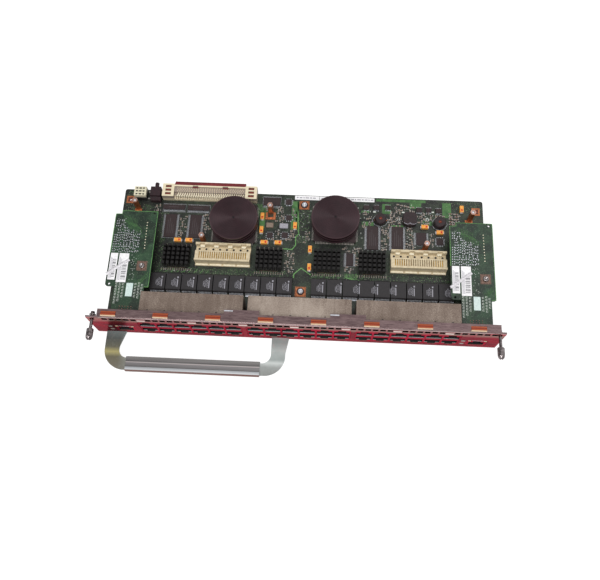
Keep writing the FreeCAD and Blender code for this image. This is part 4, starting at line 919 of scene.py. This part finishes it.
def bus_details():
    """Pins between the walls of the bus connector, and the straps of the header, with black blocks in its
    sockets as painted shade.
    """
    start, end, pitch, shelf, rim = -111.25, -53.25, 2.0, 5.0, 7.0
    blocks("bus_bed", [plate(start - 0.8, 125.9, end + 0.8, 127.7, shelf)], "worn")
    for name, shape, z, lines, finish in (
            ("bus_pins", about(0, 0, 0.5, 0.6, -1.6, 0.9), shelf,
             ((124.5, 0.0), (125.8, 0.5), (127.1, 1.0)), "teeth"),
            ("bus_keys", about(0, 0, 0.3, 0.6, 0, PRINT), rim,
             ((128.6, 0.0), (130.2, 1.0), (131.6, 0.0)), "cream")):
        paths = [level_path(z, (start + shift, y), (end + shift, y)) for y, shift in lines]
        rows(name, template("pin", shape), paths, pitch, finish)
    latches = [((x - 2.6, 131.8, rim), (x + 2.6, 132.5, 8.3)) for x in (-95.2, -68.3)]
    blocks("bus_latches", latches, "maroon")
    straps = [level_path(0, (-137.4, 123.2), (-137.4, 129.6))]
    rows("header_pins", template("strap", about(0, 0, 0.5, 1.0, 0, 1.2)), straps, 3.2, "tin")
    low, high = place_of("header_cap")
    middle, floor_height = (low.x + high.x) / 2, 7.2
    sockets = [level_path(floor_height, (middle - 3.0, y), (middle + 3.0, y)) for y in (123.6, 126.5, 129.4)]
    # painted shade: black blocks fill the header's sockets
    liner = template("liner", about(0, 0, 0.85, 0.62, 0, high.z - floor_height + PRINT))
    rows("header_sockets", liner, sockets, 2.0, "jack")


LYING = ((-107.0, 83.4), (-97.1, 83.5), (-31.3, 84.2), (-19.1, 84.3), (108.6, 104.6), (121.7, 99.8))
STANDING = ((-34.4, 109.4), (-34.4, 96.2), (-5.1, 101.2), (9.0, 79.2), (9.0, 62.4), (141.4, 123.3))


def capacitor_marks():
    """Tinned ends and the red stripe of each moulded capacitor."""
    top = 2.6
    ends = [about(x + side, y, 0.5, 1.2, 0, 1.3) for x, y in LYING for side in (-3.2, 3.2)]
    ends += [about(x, y + side, 1.2, 0.5, 0, 1.3) for x, y in STANDING for side in (-3.2, 3.2)]
    stripes = [plate(x + 0.6, y - 1.0, x + 2.0, y + 1.0, top) for x, y in LYING]
    stripes += [plate(x - 0.9, y - 1.9, x + 0.9, y - 0.5, top) for x, y in STANDING]
    blocks("capacitor_ends", ends, "bright")
    blocks("capacitor_stripes", stripes, "red")


DRUMS = ((69.8, 110.1), (121.7, 108.7))
INDUCTOR_TOP = 5.0


def inductor_details():
    """Pale outlines about the drum inductors, a dark red disc on each drum's top as a painted reflection of a
    red surface, and the windings of the square one.
    """
    corners = ((-7.2, 0), (-4.6, 4.4), (0, 6.2), (4.6, 4.4), (7.2, 0), (4.6, -4.4), (0, -6.2), (-4.6, -4.4),
               (-7.2, 0))
    outlines = [level_path(0, *((x + across, y + back) for across, back in corners)) for x, y in DRUMS]
    ribbons("inductor_outlines", outlines, 0.35, "pale_ink")
    # painted reflection of a red surface: a dark red disc on each drum's top
    mark = ((0, 0), (1.5, 0), (1.5, PRINT), (0.9, PRINT), (0.9, 2 * PRINT), (0, 2 * PRINT))
    turned_set("inductor_marks", mark, level_path(INDUCTOR_TOP, *DRUMS), "contact")
    joints = ((64.4, 109.6, 65.4, 110.8), (121.2, 115.0, 122.4, 116.2), (74.6, 109.6, 75.6, 110.8))
    blocks("inductor_joints", [plate(*area, thick=0.4) for area in joints], "copper")
    turns = [level_path(INDUCTOR_TOP, *((x + 3.2 * math.cos(angle), 107.2 + 1.9 * math.sin(angle))
                                        for angle in (3.4, 4.1, 4.7, 5.3, 6.0))) for x in (93.2, 98.0)]
    ribbons("square_windings", turns, 0.4, "pale_ink")
    angles = [step * math.pi / 6 for step in range(13)]
    ovals = [level_path(0, *((x + math.cos(angle), y + 1.7 * math.sin(angle)) for angle in angles))
             for x, y in ((86.0, 112.3), (111.2, 112.4))]
    ribbons("oval_marks", ovals, 0.7, "ink")


PART_AREAS = (
    (-107.2, 87.0, -101.4, 108.0), (-86.6, 92.0, -80.6, 112.0), (-31.0, 114.8, -16.2, 119.4),
    (-22.0, 104.6, -15.0, 115.6), (-7.6, 104.8, -4.4, 119.0), (-31.0, 86.8, -8.6, 88.2),
    (-21.6, 88.6, -18.2, 97.6), (-10.6, 87.4, -4.8, 97.2), (-12.4, 57.4, -4.6, 77.4),
    (53.6, 101.6, 62.6, 119.0), (76.6, 101.6, 88.2, 119.6), (83.0, 119.0, 99.0, 126.8),
    (101.6, 106.8, 114.4, 118.2), (114.4, 112.6, 129.0, 118.2), (71.0, 80.0, 77.6, 103.0),
    (92.4, 82.0, 98.6, 103.2), (113.4, 86.8, 116.8, 98.4), (34.6, 78.4, 56.0, 82.4),
    (39.4, 59.6, 48.0, 64.4), (47.6, 66.0, 50.6, 78.6), (130.8, 104.4, 139.0, 119.2),
    (-131.0, 111.6, -125.6, 118.4), (3.6, 85.6, 8.4, 95.8))
TICK_AREAS = (
    (-124.0, 54.4, -90.0, 56.6), (-2.0, 84.0, 9.6, 118.0), (50.0, 84.0, 56.0, 126.0),
    (99.0, 84.4, 104.0, 104.0))
CHIP_ROWS = (
    (-118.4, -93.4, 56.2), (-37.8, -13.6, 55.8), (12.2, 36.2, 56.0), (50.4, 75.0, 56.2),
    (-118.0, -95.0, 78.8), (-37.0, -15.0, 78.9))


def pair_of_ends(start, end, half, height):
    """The two tinned ends of a small part that lies along Y."""
    return template("ends", ((-half, -end, 0), (half, -start, height)),
                    ((-half, start, 0), (half, end, height)))


def small_passives():
    """Chip resistors and capacitors strewn between the larger parts, and in rows beside the link chips."""
    gap = 2.1
    for seed, finish, density in ((3, "body", 14.0), (8, "dark", 9.0)):
        body = template("body", about(0, 0, 0.8, 0.55, 0, 0.6))
        strewn(f"passive_bodies_{seed}", body, PART_AREAS, 0.0, density, gap, seed, finish)
        ends = template("ends", ((-1.15, -0.58, 0), (-0.72, 0.58, 0.64)),
                        ((0.72, -0.58, 0), (1.15, 0.58, 0.64)))
        strewn(f"passive_ends_{seed}", ends, PART_AREAS, 0.0, density, gap, seed, "tin")
    beside = [level_path(0, (left, y), (right, y)) for left, right, y in CHIP_ROWS]
    ladder = [level_path(0, (131.6, 108.6), (131.6, 118.8)), level_path(0, (136.8, 113.4), (136.8, 118.6))]
    rows("row_bodies", template("body", about(0, 0, 0.3, 0.6, 0, 0.6)), beside, 1.9, "body")
    rows("ladder_bodies", template("body", about(0, 0, 0.45, 1.1, 0, 0.7)), ladder, 2.5, "worn")
    rows("ladder_ends", pair_of_ends(1.0, 1.6, 0.5, 0.74), ladder, 2.5, "tin")
    tick = template("tick", plate(-0.55, -0.14, 0.4, 0.14), plate(0.5, -0.4, 0.75, 0.4))
    strewn("board_ticks", tick, PART_AREAS + TICK_AREAS, 0.0, 5.0, 2.6, 31, "ink")
    rows("row_ends", pair_of_ends(0.5, 0.95, 0.32, 0.62), beside, 1.9, "tin")


FIELDS = (
    (-124.0, 52.6, -2.0, 58.6), (10.6, 52.6, 128.0, 58.6), (-158.0, 104.6, -128.0, 118.6),
    (-37.8, 84.0, -32.6, 92.0), (-4.0, 84.0, 8.0, 118.0), (-158.0, 126.4, -150.0, 131.0),
    (128.0, 120.0, 158.0, 131.0), (-126.0, 60.0, -118.4, 112.0))
LANE_FIELDS = ((-84.0, 52.6, -44.0, 58.6), (84.0, 52.6, 128.0, 58.6))
POURS = (
    (71.4, 116.8, 79.4, 126.4), (66.0, 129.0, 110.0, 131.6), (-8.8, 98.0, -2.8, 126.0),
    (53.6, 104.6, 64.0, 108.4), (-36.8, 98.6, -32.0, 116.0), (79.4, 103.2, 90.0, 106.0),
    (107.0, 106.8, 115.4, 110.8), (124.6, 115.0, 132.4, 129.6), (96.0, 123.0, 106.0, 128.6),
    (53.0, 117.0, 60.0, 119.4))


def board_tracks():
    """Bright tracks and copper areas that show through the mask."""
    bright = (level_path(0, (-3.6, 126.2), (-1.5, 94.3), (-4.1, 91.2), (-3.7, 83.4), (-6.7, 79.1),
                         (-15.0, 79.4)),
              level_path(0, (-4.6, 116.0), (-4.2, 106.0)),
              level_path(0, (10.6, 55.8), (2.0, 62.0), (-4.0, 56.0), (-4.0, 52.4)))
    ribbons("wide_tracks", bright, 0.9, "track")
    fan = []
    for number in range(9):
        shift = 1.25 * number
        fan += [level_path(0, (-40.0 + shift, 121.8), (-40.0 + shift, 117.6 - 0.4 * number),
                           (-45.0 + shift, 112.8 - 0.4 * number)),
                level_path(0, (40.0 + shift, 58.2), (40.0 + shift, 55.0 - 0.2 * number),
                           (46.0 + shift, 52.4))]
        for left in (-120.0 + 4 * shift, 14.0 + 4 * shift):
            fan.append(level_path(0, (left, 53.8), (left + 2.0, 55.4), (left + 2.0, 57.0)))
    ribbons("fine_tracks", fan, 0.35, "track")
    blocks("copper_areas", [plate(*area, thick=PRINT / 2) for area in POURS], "pour")
    via = template("via", about(0, 0, 0.24, 0.24, 0, PRINT * 1.5))
    strewn("board_vias", via, FIELDS, 0.0, 16.0, 1.2, 5, "via")
    lane = template("lane", about(0, 0, 0.9, 0.14, 0, PRINT))
    strewn("board_lanes", lane, FIELDS + LANE_FIELDS, 0.0, 12.0, 1.5, 9, "pour")


CARD_OUTLINE = (
    (0.3, 62.8), (0.3, 99.5), (5.7, 99.5), (5.7, 102.7), (36.3, 102.7), (36.3, 33.1), (33.0, 33.1))
CARD_ROWS = (
    (2.6, 64.4, 2.6, 70.8), (2.9, 73.0, 2.9, 79.4), (5.5, 65.5, 5.5, 73.8), (5.2, 76.6, 5.2, 84.0),
    (8.4, 63.9, 8.4, 68.8), (8.0, 71.2, 15.8, 71.2), (11.3, 64.8, 11.3, 68.6), (11.2, 74.1, 11.2, 86.2),
    (8.1, 75.2, 8.1, 81.8), (14.3, 63.8, 14.3, 69.0), (14.0, 74.7, 14.0, 80.6), (16.9, 73.6, 16.9, 82.2),
    (13.4, 83.4, 17.6, 83.4), (17.2, 64.6, 17.2, 68.2), (20.0, 64.2, 20.0, 69.8), (18.9, 72.2, 22.7, 72.2),
    (19.8, 75.1, 19.8, 78.8), (22.6, 65.2, 22.6, 69.0), (22.4, 74.8, 22.4, 80.6), (3.2, 88.0, 3.2, 92.6),
    (5.6, 87.2, 9.4, 87.2), (7.4, 89.6, 7.4, 93.2))
CARD_PRINT = (
    (9.6, 18.4, 35.2), (12.4, 20.4, 35.0), (15.2, 24.0, 34.6), (25.6, 24.4, 35.2), (28.4, 23.6, 36.0),
    (31.0, 27.0, 34.4))
CARD_LANE = ((7.6, 98.4), (7.6, 94.4), (12.6, 89.6), (12.6, 86.6))
LABELS = ((1.2, 7.3, 38.4, 62.6, 0.42), (8.6, 16.8, 36.4, 62.6, 0.5))
LABEL_BARS = (0.5, 0.3, 0.8, 0.3, 0.5, 0.3, 0.7, 0.4, 0.3, 0.6, 0.4, 0.8, 0.3, 0.5, 0.3)


def card_labels():
    """Two blank labels on each uplink card, with grey lines and plain bars, and the tape across them."""
    paper, bars, lines, tape = [], [], [], []
    thick, ink = 0.1, 0.02
    top = CARD_TOP + thick
    for left in CARD_LEFT:
        for start, end, front, back, share in LABELS:
            paper.append(plate(left + start, front, left + end, back, CARD_TOP, thick))
            for line in (0.7, 1.5, 2.3):
                x = left + start + line
                lines.append(plate(x, front + 1.6, x + 0.35, back - 3.0 - line, top, ink))
            right = left + end - 0.9
            y = front + 2.6
            for number, width in enumerate(LABEL_BARS):
                bars.append(plate(right - (end - start) * share, y, right, y + width, top, ink))
                y += width + (0.5 if number % 3 else 0.9)
        tape.append(level_path(CARD_TOP + 0.2, (left - 0.4, 43.2), (left + 8.0, 49.8), (left + 17.4, 57.0)))
    blocks("card_labels", paper, "paper")
    blocks("label_bars", bars, "dark_ink")
    blocks("label_lines", lines, "pale_ink")
    ribbons("label_tape", tape, 2.6, "tape")


def solder_joint(radius, shoulder, bulge):
    return loose("joint", turned(((0, 0), (radius, 0), (shoulder, bulge), (0, 0.5)), 10))


def card_path(left, *points):
    """Path on top of an uplink card through points of its plan."""
    return level_path(CARD_TOP, *((left + x, y) for x, y in points))


def card_details():
    """Print, solder joints, tracks and small parts on top of the two uplink cards, and a painted highlight as
    a pale green line along their edges.
    """
    white, prints, holes, edges, columns, lanes, clusters, pads = ([] for _ in range(8))
    z = CARD_TOP
    for left in CARD_LEFT:
        white.append(plate(left + 18.0, 24.2, left + 23.6, 36.0, z))
        prints += [card_path(left, (x, low), (x, high)) for x, low, high in CARD_PRINT]
        holes.append(card_path(left, (28.8, 68.0), (28.4, 92.0)))
        edges.append(card_path(left, *CARD_OUTLINE))
        columns += [card_path(left, (x, y), (far, back)) for x, y, far, back in CARD_ROWS]
        for number in range(10):
            lanes.append(card_path(left, *((x + 1.3 * number, y - 0.5 * number) for x, y in CARD_LANE)))
        for number in range(5):
            shift = 1.1 * number
            lanes.append(card_path(left, (34.4 - shift, 46.2 - shift), (34.4 - shift, 41.4 - shift),
                                   (27.0, 39.0 - 1.2 * number)))
        clusters += [(left + 2.4, 84.0, left + 10.0, 95.6), (left + 10.0, 64.0, left + 24.0, 86.0),
                     (left + 18.4, 38.0, left + 23.6, 62.0)]
        pads += [card_path(left, (14.6, y), (24.4, y)) for y in (13.4, 15.4)]
    blocks("white_patches", white, "patch")
    mark = template("mark", plate(-0.7, -0.9, -0.45, 0.7), plate(0.45, -0.9, 0.7, 0.7),
                    plate(-0.45, 0.45, 0.45, 0.7))
    rows("card_print", mark, prints, 2.3, "ink")
    rows("card_joints", solder_joint(0.5, 0.3, 0.35), holes, 2.6, "teeth")
    # painted highlight: a pale green line along the card's edges
    ribbons("card_edges", edges, 0.5, "track")
    rows("card_specks", pair_of_ends(0.45, 1.1, 0.42, 0.3), columns, 2.1, "bright")
    rows("card_shades", template("shade", about(0, 0, 0.4, 0.45, 0, 0.28)), columns, 2.1, "black")
    ribbons("card_lanes", lanes, 0.3, "pour")
    dash = template("dash", about(0, 0, 0.4, 0.12, 0, PRINT))
    strewn("card_dashes", dash, clusters, z, 22.0, 1.2, 21, "ink")
    rows("jack_joints", solder_joint(0.55, 0.35, 0.4), pads, 2.2, "worn")


def board_labels():
    """Blank strip labels with grey bars along the back edge of the board."""
    front, back, thick, ink = 127.9, 131.9, 0.1, 0.02
    strips = ((-6.5, 15.4), (15.7, 64.5))
    paper = [plate(left, front, right, back, 0.0, thick) for left, right in strips]
    blocks("edge_labels", paper, "paper")
    bars = []
    for left, right in strips:
        x, step = left + 1.4, 0
        while x < right - 3.0:
            length = (1.8, 2.6, 1.2, 3.2)[step % 4]
            bars.append(plate(x, front + 1.5, min(x + length, right - 1.0), back - 1.5, thick, ink))
            x += length + 0.8
            step += 1
    blocks("edge_label_bars", bars, "pale_ink")


# Details of the panel and its jacks

SPRING_PITCH, SPRINGS, SPRING_SLOPE = 1.02, 8, 0.36
UPPER_FLOOR, LOWER_CEILING, LOWER_STEP = 14.5, 10.9, 3.5


def port_rows(y, z):
    """Paths over the port columns of the three jack blocks."""
    starts = [place_of(f"port_shield_{number}")[0].x + PORT_PITCH / 2 for number in (1, 2, 3)]
    return [level_path(z, (x, y), (x + PORT_PITCH * (PORTS - 1), y)) for x in starts]


def uplink_jacks():
    """Middle, front, lowest and highest place of each uplink jack."""
    for side in SIDES:
        low, high = place_of(f"uplink_shield_{side}")
        yield (low.x + high.x) / 2, low.y, low.z, high.z


def panel_details():
    """Dimples of the shields, bright strips on the lower edge of each port mouth as painted light for the lit
    front of its floor, uplink lamps, a bright lip at the top of each uplink mouth as a painted highlight, and
    a pale patch on the flange by each tab as a painted highlight.
    """
    dimple = template("dimple", about(0, 0, 0.7, 0.35, 0, PRINT))
    rows("shield_dimples", dimple, port_rows(10.1, BLOCK_TOP), PORT_PITCH, "black")
    edge = FACE + 0.5
    # painted light: bright strips on the front of each port mouth's floor
    upper = template("finger", ((-6.0, 0.02, 0), (6.0, 0.4, 0.15)))
    rows("upper_fingers", upper, port_rows(edge, UPPER_FLOOR), PORT_PITCH, "bright")
    lower = template("finger", ((-6.0, 0.02, 0), (-3.3, 0.3, 0.2)), ((3.3, 0.02, 0), (6.0, 0.3, 0.2)))
    rows("lower_fingers", lower, port_rows(edge, LOWER_STEP), PORT_PITCH, "bright")
    jack_springs()
    windows, lips = [], []
    for middle, front, _, top in uplink_jacks():
        for x in (middle - 6.4, middle + 6.4):
            windows.append(((x - 1.1, front - 0.15, top - 2.4), (x + 1.1, front, top - 0.7)))
        lips.append(((middle - 4.6, front - 0.12, top - 1.1), (middle + 4.6, front, top - 0.5)))
    blocks("jack_lamps", windows, "lens")
    # painted highlight: a bright strip across the top of each uplink mouth
    blocks("jack_lips", lips, "bright")
    # painted highlight: a pale patch on the flange by each tab
    blocks("tab_notches", [plate(x, 8.4, x + 7.0, 9.4, FLANGE_TOP) for x in (-55.9, 28.1)], "bright")


def spring_set(slope):
    """Contact springs side by side, each rising or falling towards its free end at the back."""
    half, length, gauge = 0.18, 7.4, 0.36
    shape = bmesh.new()
    for number in range(SPRINGS):
        x = (number - (SPRINGS - 1) / 2) * SPRING_PITCH
        add_block(shape, Vector((x - half, 0, 0)) * MM, Vector((x + half, length, gauge)) * MM)
    for vertex in shape.verts:
        vertex.co.z += slope * vertex.co.y
    return loose("springs", shape)


def jack_springs():
    """Contact springs on the shelf between the two rows of ports, and on the floors of the uplink jacks."""
    depth = FACE + 4.4
    for name, slope, z in (("lower_springs", -SPRING_SLOPE, LOWER_CEILING - 0.26),
                           ("upper_springs", SPRING_SLOPE, UPPER_FLOOR - 0.1)):
        rows(name, spring_set(slope), port_rows(depth, z), PORT_PITCH, "gold")
    floors = [(middle, depth, low + 1.5) for middle, _, low, _ in uplink_jacks()]
    rows("uplink_springs", spring_set(SPRING_SLOPE), [floors], floors[1][0] - floors[0][0], "gold")


def thumbscrew(side):
    """Captive screw with a fluted knob, a drive recess and a threaded end, in place of its solid."""
    low, high = place_of(f"thumbscrew_{side}")
    radius, length = (high.x - low.x) / 2 - 0.3, high.y - low.y
    knob, thread, turns, steps, flute = 9.4, 2.2, 4, 48, 0.965
    recess, shank, core, crest = 0.7, 1.25, 1.45, 1.75
    profile = [(0, recess), (0.9, recess), (1.1, 0), (1.7, 0.25), (2.2, 0.85), (2.55, 1.7), (radius, 2.6),
               (radius, knob - 0.5), (radius - 0.5, knob), (shank, knob), (shank, length - thread)]
    for turn in range(turns):
        start = length - thread + thread * turn / turns
        profile += [(core, start), (crest, start + thread / turns / 2)]
    profile += [(core, length), (0, length)]
    shape = turned(profile, steps)
    for vertex in shape.verts:
        number = round(math.atan2(vertex.co.y, vertex.co.x) / (2 * math.pi / steps))
        if number % 2 and vertex.co.xy.length > (radius - 0.1) * MM:
            vertex.co.xy *= flute
    axis = Matrix.Translation(spot((low.x + high.x) / 2, low.y, (low.z + high.z) / 2))
    bmesh.ops.transform(shape, verts=shape.verts, matrix=axis @ Matrix.Rotation(-math.pi / 2, 4, "X"))
    name = f"fluted_screw_{side}"
    item = carried(placed(name, mesh_from(shape, name, "knob")), f"screw_{side}")
    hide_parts(f"thumbscrew_{side}")


for make in (chip_leads, small_packages, transformer_details, pads_and_screws, socket_contacts, bus_details,
             capacitor_marks, inductor_details, small_passives, board_tracks, card_labels, card_details,
             board_labels, panel_details):
    make()
for side in SIDES:
    thumbscrew(side)


# Stage, light and camera

def floor():
    """Pale floor that reads as white to the camera and still takes the shadow."""
    reach, glow = 6.0, 0.82
    mesh = bpy.data.meshes.new("floor")
    corners = [(-reach, -reach, 0), (reach, -reach, 0), (reach, reach, 0), (-reach, reach, 0)]
    mesh.from_pydata(corners, [], [(0, 1, 2, 3)])
    item = placed("floor", mesh)
    item.location.z = -0.0005
    material, tree = new_finish("floor")
    shader = shader_of(tree)
    shader.inputs["Base Color"].default_value = (0.32, 0.32, 0.32, 1)
    shader.inputs["Roughness"].default_value = 0.9
    shader.inputs["Emission Color"].default_value = (1, 1, 1, 1)
    path = add(tree, "ShaderNodeLightPath")
    seen = path.outputs["Is Camera Ray"]
    for ray in ("Glossy", "Transmission"):
        seen = math_node(tree, "MAXIMUM", seen, path.outputs[f"Is {ray} Ray"])
    tree.links.new(times(tree, seen, glow), shader.inputs["Emission Strength"])
    mesh.materials.append(material)


def world_light():
    """Even grey light all round, white where the camera sees it."""
    world = bpy.data.worlds.new("studio")
    world.use_nodes = True
    tree = world.node_tree
    background = tree.nodes["Background"]
    path = add(tree, "ShaderNodeLightPath")
    background.inputs["Color"].default_value = (1, 1, 1, 1)
    tree.links.new(between(tree, path.outputs["Is Camera Ray"], 0.46, 1.0), background.inputs["Strength"])
    bpy.context.scene.world = world


def lamp(name, place, size, power):
    """Large soft lamp aimed at the origin."""
    light = bpy.data.lights.new(name, "AREA")
    light.shape = "SQUARE"
    light.size = size
    light.energy = power
    item = placed(name, light)
    item.location = place
    item.rotation_euler = (-Vector(place)).to_track_quat("-Z", "Y").to_euler()


def camera():
    """Camera above the panel side, as the photograph was taken."""
    height_angle, side_angle, roll = (math.radians(angle) for angle in (69.579, -4.847, -2.253))
    forward = Vector((math.sin(side_angle) * math.cos(height_angle),
                      math.cos(side_angle) * math.cos(height_angle), -math.sin(height_angle)))
    right = Vector((math.cos(side_angle), -math.sin(side_angle), 0))
    up = right.cross(forward)
    right, up = (math.cos(roll) * right + math.sin(roll) * up, math.cos(roll) * up - math.sin(roll) * right)
    data = bpy.data.cameras.new("camera")
    data.sensor_width = 36.0
    data.sensor_fit = "HORIZONTAL"
    data.lens = 40.8
    data.clip_start = 0.01
    item = placed("camera", data)
    turn = Matrix((right, up, -forward)).transposed().to_4x4()
    item.matrix_world = Matrix.Translation(spot(19.171, -159.549, 542.532)) @ turn
    bpy.context.scene.camera = item


floor()
world_light()
lamp("key", (-0.12, -0.42, 1.1), 0.5, 9.0)
lamp("fill", (0.6, 0.3, 0.9), 0.9, 2.5)
camera()
bpy.context.scene.view_settings.view_transform = "Standard"
